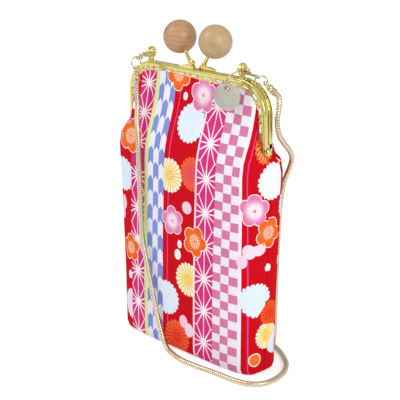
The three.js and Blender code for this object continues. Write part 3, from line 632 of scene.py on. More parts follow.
def chrysanthemum_flowers(tree, colour, point):
    """A disc of the heart's tint with many narrow petals drawn on it, and a scalloped edge."""
    centre, (petal, heart), turn, least = nearest(tree, point, CHRYSANTHEMUMS)
    r, angle = polar(tree, point, centre, turn, least)
    petals = 21
    off_petal = abs(folded(angle, petals)) * (petals / math.pi)
    tip = (off_petal * off_petal * -1.0 + 1.0).larger(0.0)
    inside = r < tip.made("SQRT", tip) * 0.17 + 0.84
    on_petal = (off_petal < (r * 0.75 + 0.1)) * (r > 0.26)
    body = mixed(tree, on_petal, heart, petal)
    body = mixed(tree, (r < 0.2) * ((angle * 7).cosine() > 0.2) * 0.6, body, petal)
    return mixed(tree, inside, colour, body)


def spots(tree, colour, u, v):
    """Small buds and dots."""
    for mid_u, mid_v, half_width, half_height, tint in SPOTS:
        x = (u - mid_u) / half_width
        y = (v - mid_v) / half_height
        colour = mixed(tree, (x * x + y * y) < 1.0, colour, tint)
    return colour


def hemp_leaf(tree, u, v, middle, period):
    """White lines of the hemp-leaf star lattice on magenta, one column of stars wide."""
    x = abs(u - middle)
    y = abs((v + period / 2).wrapped(period) - period / 2)
    third = period / 2 / math.sqrt(3)
    steep = abs(x * 0.866 - y * 0.5)
    shallow = abs(x * 0.5 - y * 0.866)
    tip = (period / 2 - y) + (third - x).larger(0.0)
    lines = x.smaller(steep).smaller(shallow).smaller(y * 1.3).smaller(tip)
    from_star = (x * x + y * y).made("SQRT", x * x + y * y)
    thickness = (from_star * -0.03 + 0.62).larger(0.34)
    return mixed(tree, (lines < thickness).larger(from_star < 1.9), MAGENTA, "#f8eef4")


def arrow_feathers(tree, u, v, low, column, feather):
    """Arrow-feather columns: white and blue in turn, half a step apart, with pointed ends."""
    across = (u - low) / column
    number = across.floor()
    off = abs(across - number - 0.5)
    shifted = v + number * feather + off * column * 1.1
    white = shifted.wrapped(2 * feather) < feather
    slub = mixed(tree, (across - number).between(0.46, 0.54) * 0.25, "#eeeaf8", "#d5d4ef")
    return mixed(tree, white, "#7f95dc", slub)


def chequer(tree, u, v, low, across, up):
    """Chequer of pink and white."""
    parity = (((u - low) / across).floor() + (v / up).floor()).wrapped(2.0)
    return mixed(tree, parity > 0.5, "#d67ba2", "#efe8f3")


def printed_cotton(ground):
    """Printed plain-weave cotton: matte, with the weave's fine grid, slightly uneven ink, and painted light
    and shade on the weave's crests and hollows.
    """
    material, tree, shader = new_material("printed cotton", ground, 0.0, 0.86)
    point = add(tree, "ShaderNodeAttribute", out="Vector", attribute_name="cloth_mm")
    u = Field(tree, add(tree, "ShaderNodeSeparateXYZ", point, out="X"))
    v = Field(tree, add(tree, "ShaderNodeSeparateXYZ", point, out="Y"))
    flat = add(tree, "ShaderNodeVectorMath", point, (1, 1, 0), operation="MULTIPLY")
    colour = linear(ground)
    first_line, second_line = (abs(u - line) < THIN_LINE_HALF for line in THIN_LINES)
    colour = mixed(tree, first_line.larger(second_line), colour, LINE_PINK)
    colour = chrysanthemum_flowers(tree, colour, flat)
    # Near the rim the gathers draw the left column of stars together, and one star is plain magenta
    gathered = v + (v - 130.0).larger(0.0) * 0.23
    starry = (v > 126.0).larger(v < 113.0)
    leaf = mixed(tree, starry, MAGENTA, hemp_leaf(tree, u, gathered - 22.3, -37.6, 21.3))
    for band, print_in_band in (
        (LEFT_STARS, leaf),
        (RIGHT_STARS, hemp_leaf(tree, u, v - 13.1, 23.4, 20.85)),
        (WHITE_EDGE, WHITE_INK),
        (GREEN_BAND, "#d9ec9d"),
        (FEATHERS, arrow_feathers(tree, u, v, FEATHERS[0], 4.84, 9.2)),
        (CHEQUERS, chequer(tree, u, v, CHEQUERS[0], 6.3, 5.6)),
        (WHITE_BORDER, WHITE_INK),
    ):
        colour = mixed(tree, u.between(*band), colour, print_in_band)
    colour = plum_flowers(tree, colour, flat)
    colour = spots(tree, colour, u, v)
    thread = 0.85
    warp = (u * (2 * math.pi / thread)).cosine()
    weft = (v * (2 * math.pi / thread)).cosine()
    weave = warp * weft
    mottle = add(tree, "ShaderNodeTexNoise", flat, None, 0.9, 4.0, 0.62)
    # Uneven ink from the noise, plus painted light and shade from the weave: crests lighter, hollows darker
    uneven_ink_and_weave_shade = (Field(tree, mottle) - 0.5) * 0.06 + weave * 0.02
    colour = mixed(tree, uneven_ink_and_weave_shade.larger(0.0), colour, "#f6e6ea")
    colour = mixed(tree, (uneven_ink_and_weave_shade * -2.0).larger(0.0), colour, "#5a0010")
    tree.links.new(colour, shader.inputs["Base Color"])
    bump = add(tree, "ShaderNodeBump", 0.35, 0.12 * MM, None, (weave * 0.5 + 0.5).socket)
    tree.links.new(bump, shader.inputs["Normal"])
    shader.inputs["Sheen Weight"].default_value = 0.01
    shader.inputs["Specular IOR Level"].default_value = 0.04
    return material


def lining_cotton(look):
    """Plain red cotton lining: matte, with a fine weave."""
    material, tree, shader = new_material("plain cotton lining", "#c21d31", 0.0, 0.9)
    where = add(tree, "ShaderNodeTexCoord", out="Object")
    mottle = add(tree, "ShaderNodeTexNoise", where, None, 1 / (0.8 * MM), 4.0, 0.6)
    tree.links.new(mixed(tree, mottle, "#b3152a", look.lining), shader.inputs["Base Color"])
    bump = add(tree, "ShaderNodeBump", 0.3, 0.1 * MM, None, mottle)
    tree.links.new(bump, shader.inputs["Normal"])
    shader.inputs["Sheen Weight"].default_value = 0.15
    return material


# Clasp frame

def outline_at(distance):
    """A point of the frame's outline, from the left foot round to the right one, and the way outward."""
    from_middle = distance - OUTLINE_LENGTH / 2
    side = -1 if from_middle < 0 else 1
    run = abs(from_middle)
    if run <= TOP_LENGTH / 2:
        return np.array((from_middle, FRAME_TOP)), np.array((0.0, 1.0))
    past_top = run - TOP_LENGTH / 2
    if past_top < CORNER_LENGTH:
        angle = past_top / CORNER_RADIUS
        out = np.array((side * math.sin(angle), math.cos(angle)))
        corner = np.array((side * (HALF_WIDTH - CORNER_RADIUS), FRAME_TOP - CORNER_RADIUS))
        return corner + CORNER_RADIUS * out, out
    drop = past_top - CORNER_LENGTH
    return np.array((side * HALF_WIDTH, FRAME_TOP - CORNER_RADIUS - drop)), np.array((float(side), 0.0))


def inside_outline(distance, inset):
    point, out = outline_at(distance)
    return point - out * inset


def outline_stations(corner_steps, foot=0.0):
    """Distances along the outline that follow its corners finely and its straight runs coarsely."""
    starts = [foot, STRAIGHT_LEG / 2]
    left = [STRAIGHT_LEG + CORNER_LENGTH * i / corner_steps for i in range(corner_steps + 1)]
    top = [STRAIGHT_LEG + CORNER_LENGTH + TOP_LENGTH * i / 6 for i in range(1, 6)]
    right = [OUTLINE_LENGTH - d for d in reversed(left)]
    ends = [OUTLINE_LENGTH - d for d in reversed(starts)]
    return starts + left + top + right + ends


def rim_shape(side):
    """The rolled rim of a frame half: a rounded section swept round the outline."""
    groove = 0.3 * MM
    section = rounded([
        (RIM_THICKNESS, HALF_GAP), (0, HALF_GAP), (0, RIM_FRONT - 0.1 * MM),
        (RIM_THICKNESS + 0.25 * MM, RIM_FRONT), (RIM_THICKNESS + 0.3 * MM, RIM_FRONT - groove - 0.4 * MM),
        (RIM_THICKNESS, HALF_GAP),
    ], 0.6 * MM, 5)[:-1]
    rings = []
    for distance in outline_stations(20, 1.6 * MM):
        points = [(*inside_outline(distance, inset), out) for inset, out in section]
        rings.append([(x, side * out, z) for x, z, out in points])
    return lofted(rings)


def flange_shape(name, side):
    """The stamped sewing flange: scalloped along its inner edge, with a thread hole in each scallop."""
    depth = SCALLOP_DEPTH
    foot = 2.2 * MM
    outer = [inside_outline(d, RIM_THICKNESS * 0.6) for d in outline_stations(16, foot)]
    inner = [inside_outline(foot, FLANGE_HEIGHT - depth)]
    steps = 8
    for k in range(SCALLOPS):
        for i in range(steps):
            t = i / steps
            at = FIRST_SCALLOP + (k + t) * SCALLOP_PITCH
            if foot < at < OUTLINE_LENGTH - foot:
                reach = FLANGE_HEIGHT - depth + depth * math.sqrt(math.sin(math.pi * t))
                inner.append(inside_outline(at, reach))
    inner.append(inside_outline(OUTLINE_LENGTH - foot, FLANGE_HEIGHT - depth))
    outlines = [inner + outer[::-1]]
    clear_of_foot = foot + 1.2 * MM
    for k in range(SCALLOPS):
        middle = FIRST_SCALLOP + (k + 0.5) * SCALLOP_PITCH
        if clear_of_foot < middle < OUTLINE_LENGTH - clear_of_foot:
            outlines.append([
                inside_outline(middle + math.cos(a) * THREAD_HOLE_HALF_LENGTH,
                               THREAD_HOLE_INSET + math.sin(a) * THREAD_HOLE_HALF_WIDTH)
                for a in np.arange(14) * 2 * math.pi / 14
            ])
    edge = 0.1 * MM
    thickness = 0.6 * MM
    curve = bpy.data.curves.new(name, "CURVE")
    curve.dimensions = "2D"
    curve.fill_mode = "BOTH"
    curve.extrude = thickness / 2 - edge
    curve.bevel_depth = edge
    curve.bevel_resolution = 1
    curve.offset = -edge
    for outline in outlines:
        spline = curve.splines.new("POLY")
        spline.points.add(len(outline) - 1)
        for spot, (x, z) in zip(spline.points, outline):
            spot.co = (x, z, 0, 1)
        spline.use_cyclic_u = True
    drawn = bpy.data.objects.new(name, curve)
    bpy.context.scene.collection.objects.link(drawn)
    flat = bpy.data.meshes.new_from_object(drawn.evaluated_get(bpy.context.evaluated_depsgraph_get()))
    middle_y = side * (RIM_FRONT - 0.35 * MM - thickness / 2)
    points = [(v.co.x, middle_y - side * v.co.z, v.co.y) for v in flat.vertices]
    faces = [tuple(p.vertices) if side > 0 else tuple(p.vertices)[::-1] for p in flat.polygons]
    bpy.data.objects.remove(drawn)
    return np.array(points), faces


def ear_shape(side, end):
    """A hinge ear: a round end on a short neck that runs up into the rim."""
    inner_x = HALF_WIDTH - RIM_THICKNESS if side == FRONT else HALF_WIDTH - EAR_THICKNESS
    angles = np.radians(np.arange(-180, 15, 15))
    outline = [(EAR_RADIUS * math.cos(a), EAR_RADIUS * math.sin(a)) for a in angles]
    neck = 4.5 * MM
    outline = [(-RIM_FRONT * 0.93, neck)] + outline + [(EAR_RADIUS * 0.3, 3.2 * MM), (-HALF_GAP, neck)]
    points, faces = slab(outline, inner_x, inner_x + EAR_THICKNESS, 0.15 * MM)
    y = points[:, 0] * (1 if side == FRONT else -1)
    turned_points = np.stack((end * points[:, 2], y, points[:, 1] + HINGE_HEIGHT), 1)
    return turned_points, faces


def rivet_shape(end):
    """A formed rivet with a domed head outside and a flat head inside."""
    inside = HALF_WIDTH - RIM_THICKNESS - 0.3 * MM
    outside = HALF_WIDTH + 0.3 * MM
    shank, head, rise = 0.8 * MM, 1.9 * MM, 0.8 * MM
    profile = [(0, inside - rise), (1.5 * MM, inside - rise), (1.6 * MM, inside), (shank, inside),
               (shank, outside), (head, outside)]
    dome = [(head * math.cos(a), outside + rise * math.sin(a)) for a in np.radians(np.arange(10, 90, 10))]
    points, faces = turned(profile + dome + [(0, outside + rise)], 24)
    return placed(points, vec(0, 0, HINGE_HEIGHT), (0, 1, 0), (end, 0, 0)), faces


def make_frame_halves(look):
    rim_gold, flange_gold = gold_plating(look), gold_flange()
    for side, body, name in ((FRONT, "root", "front_frame"), (BACK, "back_half", "back_frame")):
        parts = [rim_shape(side), ear_shape(side, LEFT), ear_shape(side, RIGHT)]
        rim = mesh_piece(f"{name}_rim", joined(parts), rim_gold)
        set_on(rim, body, "gold_plated_frame", name)
        flange = mesh_piece(f"{name}_flange", flange_shape(f"{name}_flange", side), flange_gold, 50)
        set_on(flange, body, "gold_plated_frame", name)
    for end, name in ((LEFT, "left_rivet"), (RIGHT, "right_rivet")):
        rivet = mesh_piece(f"{name}_domed", rivet_shape(end), rim_gold)
        set_on(rivet, "root", "gold_plated_frame", name)
    return rim_gold


# Sewing

def stitch_shape(side, first, second, width):
    """One stitch: a short soft run of thread from one hole to the next, dipping in at both ends."""
    steps = 9
    path, widths = [], []
    for i in range(steps):
        t = i / (steps - 1)
        x, z = inside_outline(first + (second - first) * t, THREAD_HOLE_INSET)
        rise = math.sin(math.pi * t) ** 0.4
        path.append((x, side * (RIM_FRONT - 0.9 * MM + 0.95 * MM * rise), z))
        widths.append(width * (0.7 + 0.5 * rise) / 1.2)
    return swept(path, widths, [w * 0.8 for w in widths], 10)


def make_stitches(look):
    thread = sewing_thread(look)
    past_hole = 0.1 * MM
    for side, body, name in ((FRONT, "root", "front_stitches"), (BACK, "back_half", "back_stitches")):
        stitches = []
        for k in range(1, SCALLOPS - 1, 2):
            hole = FIRST_SCALLOP + (k + 0.5) * SCALLOP_PITCH
            first, second = hole - past_hole, hole + SCALLOP_PITCH + past_hole
            stitches.append(stitch_shape(side, first, second, look.thread_width))
        piece = mesh_piece(name, joined(stitches), thread, 60)
        set_on(piece, body, "printed_cotton")


# Kiss lock

def lock_axis(end, side):
    """A stem's foot on its half of the frame, its ball's centre nearer the middle, and the way up."""
    foot = vec(end * 2.6 * MM, side * LOCK_Y, FRAME_TOP + 1.05 * MM)
    ball = vec(end * 14.4 * MM, side * 0.7 * MM, 194.5 * MM)
    return foot, ball, unit(ball - foot)


def lock_stem_shape(end, side):
    """A turned stem that leans out from a low plate along the rim; the front one carries the cam."""
    foot, ball, along = lock_axis(end, side)
    length = np.linalg.norm(ball - foot) - 2.3 * MM
    radius = 1.45 * MM
    profile = rounded([
        (0, 0), (radius * 1.15, 0), (radius * 1.15, 2.2 * MM), (radius * 0.8, 3.4 * MM),
        (radius * 0.8, length - 8 * MM), (radius, length - 7 * MM), (radius, length), (0, length),
    ], 0.5 * MM, 4)
    points, faces = turned(profile, 28)
    stem = placed(points, foot, (along[2], 0, -along[0]), along), faces
    low, long, thick = 0.5 * MM, 12.6 * MM, 1.9 * MM
    outline = [(low, 0), (low + long, 0), (low + long, thick * 0.5)]
    outline += [(low + long * (1 - 0.45 * t), thick * (0.5 + 0.5 * math.sin(t * math.pi / 2)))
                for t in (0.2, 0.4, 0.6, 0.8, 1.0)]
    outline += [(low + 0.3 * MM, thick)]
    flat, plate_faces = slab(outline, -1.3 * MM, 1.3 * MM, 0.3 * MM)
    plate = np.stack((end * flat[:, 0], flat[:, 2] + side * LOCK_Y, flat[:, 1] + FRAME_TOP + 0.1 * MM), 1)
    parts = [stem, (plate, plate_faces)]
    if side == FRONT:
        bump = rounded([(0, -1.7 * MM), (1.7 * MM, -1.7 * MM), (2.15 * MM, 0), (1.8 * MM, 1.5 * MM),
                        (1.0 * MM, 1.75 * MM), (0.7 * MM, 1.3 * MM), (0, 1.3 * MM)], 0.5 * MM, 4)
        cam_points, cam_faces = turned(bump, 24)
        centre = vec(foot[0] + end * 0.3 * MM, foot[1] - 0.15 * MM, foot[2] + 2.4 * MM)
        parts.append((placed(cam_points, centre, (1, 0, 0), (0, -1, 0.25)), cam_faces))
    return joined(parts)


def ball_shape(end, side, diameter):
    """A turned ball with a bore and a small flat round its mouth."""
    foot, ball, along = lock_axis(end, side)
    radius, bore, depth = diameter / 2, 1.75 * MM, 8 * MM
    start = math.asin((bore + 0.35 * MM) / radius)
    mouth = -radius * math.cos(start)
    profile = [(0, depth - radius), (bore, depth - radius), (bore, mouth + 0.2 * MM),
               (bore + 0.15 * MM, mouth)]
    steps = 40
    for i in range(steps + 1):
        angle = start + (math.pi - start) * i / steps
        profile.append((radius * math.sin(angle), -radius * math.cos(angle)))
    points, faces = turned(profile, 56)
    return placed(points, ball, (along[2], 0, -along[0]), along), faces


def make_kiss_lock(gold, look):
    brown = turned_wood("waxed red-brown beech", "#bb946b", look.brown_wood, "#94602f", 3.0, (0.5, 0.3, 0.9),
                        0.6)
    tan = turned_wood("waxed pale beech", "#c2a57a", look.pale_wood, "#98764a", 2.0, (1.2, 0.2, 0.35), 0.25)
    for end, side, body, end_name, side_name, wood, slot in (
        (LEFT, FRONT, "root", "left", "front", brown, "brown_wood"),
        (RIGHT, BACK, "back_half", "right", "back", tan, "pale_wood"),
    ):
        stem = mesh_piece(f"{side_name}_lock_stem_turned", lock_stem_shape(end, side), gold)
        set_on(stem, body, "gold_plated_frame", f"{side_name}_lock_stem")
        ball = mesh_piece(f"{end_name}_wood_ball_turned", ball_shape(end, side, look.ball_diameter), wood, 50)
        set_on(ball, body, slot, f"{end_name}_wood_ball")


# Strap loops

def loop_centre(end):
    return LOOP_CENTRE * np.array((end, 1, 1))


def loop_shape(end):
    """A cast ring whose hole faces along the frame, on a flared foot."""
    points, faces = ring(LOOP_RADIUS, LOOP_WIRE)
    points = placed(points, vec(0, 0, 0), (0, 1, 0), (0, 0, 1))
    base = FRAME_TOP + 0.1 * MM - LOOP_CENTRE[2]
    levels = ((base, 3.6, 1.4), (base + 0.45 * MM, 3.5, 1.4), (base + 0.8 * MM, 2.3, 1.35),
              (base + 1.4 * MM, 1.5, 1.2), (base + 2.2 * MM, 1.3, 1.1), (-LOOP_RADIUS + 0.3 * MM, 1.2, 1.0))
    around = 24
    along_frame, across_frame = oval(around, 3)
    rings = [np.stack((along_frame * half_long * MM, across_frame * half_deep * MM, np.full(around, z)), 1)
             for z, half_long, half_deep in levels]
    made = joined([(points, faces), lofted(rings)])
    return made[0] + loop_centre(end), made[1]


def make_loops(gold):
    for end, name in ((LEFT, "left_strap_loop"), (RIGHT, "right_strap_loop")):
        set_on(mesh_piece(f"{name}_cast", loop_shape(end), gold), "root", "gold_plated_frame", name)


# Clasps, rings and caps

def clasp_seat(end, lean, turn_degrees, shift):
    """Where a clasp's ring centre lies, the way its tail points, its side and the centre of its eye."""
    turn = math.radians(turn_degrees)
    across = vec(1, 0, 0)
    centre = loop_centre(end) + np.array(shift) + np.array(lean) * HOOK_RADIUS
    tail = np.array(lean) * math.cos(turn) + across * math.sin(turn)
    side = across * math.cos(turn) - np.array(lean) * math.sin(turn)
    return centre, tail, side, centre + tail * CLASP_TAIL


LEFT_SEAT = clasp_seat(LEFT, (0, -0.968, -0.25), 0, (0, 0, 0.15 * MM))
RIGHT_SEAT = clasp_seat(RIGHT, unit((0, 0.75, -0.66)), 58, (0, 0.3 * MM, 0.42 * MM))
LEFT_RING_CENTRE = LEFT_SEAT[3] + vec(0, -2.7, -2.4) * MM
LEFT_CAP_EYE = LEFT_RING_CENTRE + vec(0, 0, -JUMP_RING_RADIUS)
LEFT_CAP_AXIS = vec(0, 0, -1)
RIGHT_RING_RUN = unit((0.86, 0.15, -0.48))
RIGHT_RING_RISE = unit((0, 0.95, 0.3))
RIGHT_RING_CENTRE = RIGHT_SEAT[3] + RIGHT_RING_RUN * JUMP_RING_RADIUS
RIGHT_CAP_EYE = RIGHT_RING_CENTRE + RIGHT_RING_RUN * JUMP_RING_RADIUS
RIGHT_CAP_AXIS = unit((0.75, 0.2, -0.63))


def arc_path(from_degrees, to_degrees, radius, steps):
    angles = np.radians(np.linspace(from_degrees, to_degrees, steps))
    return np.stack((radius * np.cos(angles), radius * np.sin(angles), np.zeros(steps)), 1)


def clasp_body_shape():
    """The hook, its shouldered body and the swivelling eye, drawn flat with the tail down."""
    steps = 40
    path = arc_path(44, 308, HOOK_RADIUS, steps)
    t = np.linspace(0, 1, steps)
    widths = (0.75 + 0.6 * np.minimum(1, t * 5)) * MM
    heights = (0.9 + 0.6 * np.minimum(1, t * 4)) * MM
    hook = swept(path, widths, heights, 14, 2.6)
    levels = ((-2.0, 1.5, 0.55), (-2.5, 2.0, 0.8), (-3.4, 1.9, 0.9), (-4.6, 1.5, 0.85), (-5.6, 1.15, 0.75),
              (-6.0, 0.95, 0.6))
    around = 20
    off_centre = 0.25 * MM
    wide, deep = oval(around)
    rings = [np.stack((half_wide * MM * wide - off_centre, np.full(around, y * MM),
                       -half_deep * MM * deep), 1) for y, half_wide, half_deep in levels]
    eye, eye_faces = ring(1.75 * MM, 0.9 * MM, 32, 12)
    return joined([hook, lofted(rings), (eye + vec(0, -CLASP_TAIL, 0), eye_faces)])


LEVER_PIVOT = vec(math.cos(math.radians(-42)), math.sin(math.radians(-42)), 0) * (HOOK_RADIUS + 0.35 * MM)


def clasp_lever_shape():
    """The sprung gate with its thumb knob."""
    steps = 16
    path = arc_path(-38, 56, HOOK_RADIUS, steps)
    t = np.linspace(0, 1, steps)
    gate = swept(path, (1.25 - 0.55 * t) * MM, (1.3 - 0.4 * t) * MM, 12, 2.4)
    stalk = swept([LEVER_PIVOT + vec(0, 0.5, 0.3) * MM, LEVER_PIVOT + vec(1.2, 0.1, 0.35) * MM,
                   LEVER_PIVOT + vec(2.2, -0.6, 0.35) * MM],
                  [1.4 * MM, 1.1 * MM, 0.8 * MM], [0.7 * MM] * 3, 10)
    knob = rounded([(0, -1.0 * MM), (0.8 * MM, -0.9 * MM), (1.05 * MM, 0), (0.8 * MM, 0.9 * MM),
                    (0, 1.0 * MM)], 0.5 * MM, 4)
    points, faces = turned(knob, 16)
    return joined([gate, stalk, (points + LEVER_PIVOT + vec(2.4, -0.7, 0.35) * MM, faces)])


def clasp_pin_shape():
    """The pin that the lever turns on, with a head at each end."""
    profile = [(0, -1.45 * MM), (0.55 * MM, -1.4 * MM), (0.8 * MM, -1.15 * MM), (0.4 * MM, -1.1 * MM),
               (0.4 * MM, 1.1 * MM), (0.8 * MM, 1.15 * MM), (0.55 * MM, 1.4 * MM), (0, 1.45 * MM)]
    points, faces = turned(profile, 16)
    return placed(points, LEVER_PIVOT, (1, 0, 0), (0, 0, 1)), faces


def cap_shape():
    """A flat eye on a turned cup with a crimped waist, drawn from the eye along +Y."""
    neck = CAP_EYE_RADIUS - 0.4 * MM
    radius = 2.1 * MM
    profile = rounded([
        (0, neck), (radius * 0.55, neck), (radius, neck + 0.9 * MM), (radius, neck + 2.2 * MM),
        (radius * 0.86, neck + 2.6 * MM), (radius * 0.86, neck + 3.2 * MM), (radius, neck + 3.6 * MM),
        (radius, neck + CAP_LENGTH), (0, neck + CAP_LENGTH),
    ], 0.35 * MM, 3)
    eye = ring(1.6 * MM, 0.8 * MM, 28, 10)
    return joined([turned(profile, 28), eye])


def make_clasps(look):
    """The clasps, jump rings and chain caps, and the list of what goes with the strap."""
    pale = pale_gold(look)
    on_strap = []

    def fitting(name, shape, origin, x_axis, y_axis, body="root"):
        points, faces = shape
        piece = mesh_piece(f"{name}_cast", (placed(points, origin, x_axis, y_axis), faces), pale, 50)
        set_on(piece, body, "pale_gold_fittings", name)
        on_strap.append(piece)

    for name, seat, knob_side in (("left", LEFT_SEAT, -1), ("right", RIGHT_SEAT, 1)):
        centre, tail, side, _ = seat
        across = side * knob_side
        fitting(f"{name}_clasp_body", clasp_body_shape(), centre, across, -tail)
        fitting(f"{name}_clasp_lever", clasp_lever_shape(), centre, across, -tail, f"{name}_lever")
        fitting(f"{name}_clasp_pin", clasp_pin_shape(), centre, across, -tail)
    jump_ring = ring(JUMP_RING_RADIUS, 0.8 * MM)
    fitting("left_jump_ring", jump_ring, LEFT_RING_CENTRE, (0, 1, 0), (0, 0, 1))
    fitting("right_jump_ring", jump_ring, RIGHT_RING_CENTRE, RIGHT_RING_RUN, RIGHT_RING_RISE)
    fitting("left_chain_cap", cap_shape(), LEFT_CAP_EYE, np.cross(LEFT_CAP_AXIS, (0, 1, 0)), LEFT_CAP_AXIS)
    fitting("right_chain_cap", cap_shape(), RIGHT_CAP_EYE, np.cross(RIGHT_CAP_AXIS, RIGHT_RING_RISE),
            RIGHT_CAP_AXIS)
    return on_strap


# Strap

def coil_turns():
    """The spare chain, wound into turns beside each other in two layers; it ends where the strap runs on."""
    centre = np.array((-6, 44)) * MM
    mean_radius = 17.5 * MM
    outer = mean_radius + CHAIN_DIAMETER
    points = []
    turns = 6.0
    end = 2 * math.pi * turns - math.pi / 2
    steps = int(turns * 20)
    for i in range(steps + 1):
        angle = end * i / steps
        turn = angle / (2 * math.pi)
        if turn < 2.9:
            radius, z = outer - CHAIN_DIAMETER * min(2, max(0, turn - 0.15) * 2 / 2.75), CHAIN_REST
        else:
            radius = outer - CHAIN_DIAMETER * min(2, max(0, (turns - 0.4 - turn)) * 2 / 2.7)
            z = CHAIN_REST + CHAIN_DIAMETER * min(1, (turn - 2.9) * 4)
        points.append((centre[0] + radius * math.cos(angle), centre[1] + radius * math.sin(angle), z))
    return points, centre, outer


def strap_route():
    """The whole chain's centre line from the left cap to the right one."""
    left_start = LEFT_CAP_EYE + LEFT_CAP_AXIS * (CAP_EYE_RADIUS - 0.4 * MM + CAP_LENGTH)
    right_start = RIGHT_CAP_EYE + RIGHT_CAP_AXIS * (CAP_EYE_RADIUS - 0.4 * MM + CAP_LENGTH)
    turns, centre, outer = coil_turns()
    lead_in = [(centre[0] + outer + 2.2 * MM, centre[1] - 2.0 * MM, CHAIN_REST)]
    lead_out = [(centre[0] + 1.5 * MM, centre[1] - outer - 1.0 * MM, CHAIN_REST + 2.2 * MM),
                (centre[0] + 6.0 * MM, centre[1] - outer - 2.6 * MM, CHAIN_REST + 0.6 * MM)]
    points = [left_start, left_start + LEFT_CAP_AXIS * 5 * MM, *FRONT_CHAIN, *lead_in, *turns[1:],
              *lead_out, *BACK_CHAIN[::-1], right_start + RIGHT_CAP_AXIS * 2.8 * MM, right_start]
    return points


def make_strap(on_strap, look):
    """A snake chain: one round tube of close wavy plates, with a zigzag groove between them."""
    link, rows = 1.5 * MM, 4
    path = smooth_route(strap_route(), link / rows)
    tangents, sides, ups = frames_along(path)
    around = 16
    angles = np.arange(around) * 2 * math.pi / around
    zigzag = np.abs((angles * 4 / math.pi) % 2 - 1) * link * 0.5
    phase = np.arange(len(path)) % rows
    depth = np.array((0.90, 0.985, 1.0, 0.985))[phase]
    radius = CHAIN_DIAMETER / 2 * depth
    radius[[0, -1]] = CHAIN_DIAMETER / 2
    shift = np.where((np.arange(len(path)) > 3) & (np.arange(len(path)) < len(path) - 4), 1.0, 0.0)
    rings = (path[:, None, :]
             + np.cos(angles)[None, :, None] * radius[:, None, None] * sides[:, None, :]
             + np.sin(angles)[None, :, None] * radius[:, None, None] * ups[:, None, :]
             + (zigzag[None, :] * shift[:, None])[:, :, None] * tangents[:, None, :])
    chain = mesh_piece("snake_chain_strap", lofted(rings), chain_plating(look), 180)
    # The groove rows, which the chain's material darkens as painted shade
    groove = chain.data.attributes.new("groove", "FLOAT", "POINT")
    groove.data.foreach_set("value", np.repeat((phase == 0).astype(np.float32), around))
    set_on(chain, "root", "snake_chain", "left_strap_chain", "right_strap_chain", "strap_coil")


# Charm

def make_charm(look):
    turn, lean = math.radians(15), math.radians(48)
    across = vec(math.cos(turn), -math.sin(turn), 0)
    down = vec(-math.sin(turn) * math.sin(lean), -math.cos(turn) * math.sin(lean), -math.cos(lean))
    radius = 6.3 * MM
    hang = loop_centre(RIGHT) + vec(0, -0.75, -0.72) * MM
    points, faces = ring(radius, 0.9 * MM, 64, 14)
    ring_points = placed(points, hang + down * radius, across, down)
    link = mesh_piece("charm_ring_wire", (ring_points, faces), pale_gold(look))
    set_on(link, "charm_link", "pale_gold_fittings", "charm_ring")
    foot = hang + down * 2 * radius
    disc_radius = look.charm_diameter / 2
    hole, hole_drop = 1.7 * MM, disc_radius - 2.9 * MM
    steps = 64
    angles = np.arange(steps) * 2 * math.pi / steps
    around = np.stack((np.cos(angles), np.sin(angles)), 1)
    levels = []
    for reach, z in ((0.0, -0.2), (0.35, -0.3), (0.86, -0.3), (0.9, -0.42), (0.96, -0.45), (1.0, -0.3),
                     (1.0, 0.3), (0.96, 0.45), (0.9, 0.42), (0.86, 0.3), (0.35, 0.3), (0.0, 0.2)):
        hole_rim = around * hole + np.array((0, hole_drop))
        outer_rim = around * disc_radius
        levels.append(np.column_stack((hole_rim + (outer_rim - hole_rim) * reach, np.full(steps, z * MM))))
    points, faces = lofted(levels, closed=True)
    twist = math.radians(24)
    centre = foot + vec(0, 0, -hole_drop - 0.5 * MM)
    facing = vec(math.cos(twist), math.sin(twist), 0)
    disc_points = placed(points, centre, facing, (0, 0, 1))
    disc = mesh_piece("charm_disc_struck", (disc_points, faces), struck_nickel(look), 60)
    set_on(disc, "charm", "charm_metal", "charm_disc")


# Cloth

BAG_ROWS = np.array((
    # height, half width and half depth in millimetres, from the base to the hinge
    (0, 55.6, 13.4), (1.0, 57.0, 14.9), (4, 57.9, 15.9), (59, 59.0, 16.7), (100, 60.3, 17.2),
    (118, 61.4, 17.5), (124, 61.4, 17.4), (130.5, 60.0, 16.6),
))
FRONT_ROWS = np.array((
    # Above the hinge the front bulges forward from inside the flange
    (134, 57.4, 15.3), (137, 55.4, 14.3), (139.5, 53.4, 13.2), (141, 52.5, 12.5), (146, 52.3, 10.3),
    (151, 52.3, 8.2), (156, 52.3, 6.4), (162, 52.3, 4.7), (168, 52.3, 3.4), (173.4, 52.3, 2.8),
))
BACK_ROWS = np.array((
    # The back lies flatter, so that the leg can swing down beside it
    (134, 56.2, 15.2), (138.5, 54.0, 13.8), (141, 52.6, 12.8), (146, 52.3, 10.4), (154, 52.3, 7.2),
    (162, 52.3, 4.9), (168, 52.3, 3.4), (173.4, 52.3, 2.8),
))
SEAM_SLIT = 134.0
PANEL_TOP = 173.4
ARC_SAMPLES = 400
HEM_INSET = 3.6
HEM_HALF_WIDTH = HALF_WIDTH / MM - HEM_INSET
HEM_DEPTH = FLANGE_BACK / MM - 0.35
UNDER_EAR = 55.4
CORNER_Z = (FRAME_TOP - CORNER_RADIUS) / MM


def round_corner(z, inset):
    """Half width, in millimetres, of the frame's rounded upper corners at an inset from its outline."""
    reach = CORNER_RADIUS / MM - inset
    return (HALF_WIDTH - CORNER_RADIUS) / MM + math.sqrt(max(reach ** 2 - max(z - CORNER_Z, 0) ** 2, 0))


def bag_size(z, side):
    """Half width and half depth of the cloth at a height, both in millimetres."""
    rows = np.concatenate((BAG_ROWS, FRONT_ROWS if side == FRONT else BACK_ROWS))
    half_width = np.interp(z, rows[:, 0], rows[:, 1])
    half_depth = np.interp(z, rows[:, 0], rows[:, 2])
    if z > CORNER_Z:
        half_width = round_corner(z, np.interp(z, (CORNER_Z, 166, 171), (6.2, 6.2, HEM_INSET)))
    return half_width, half_depth


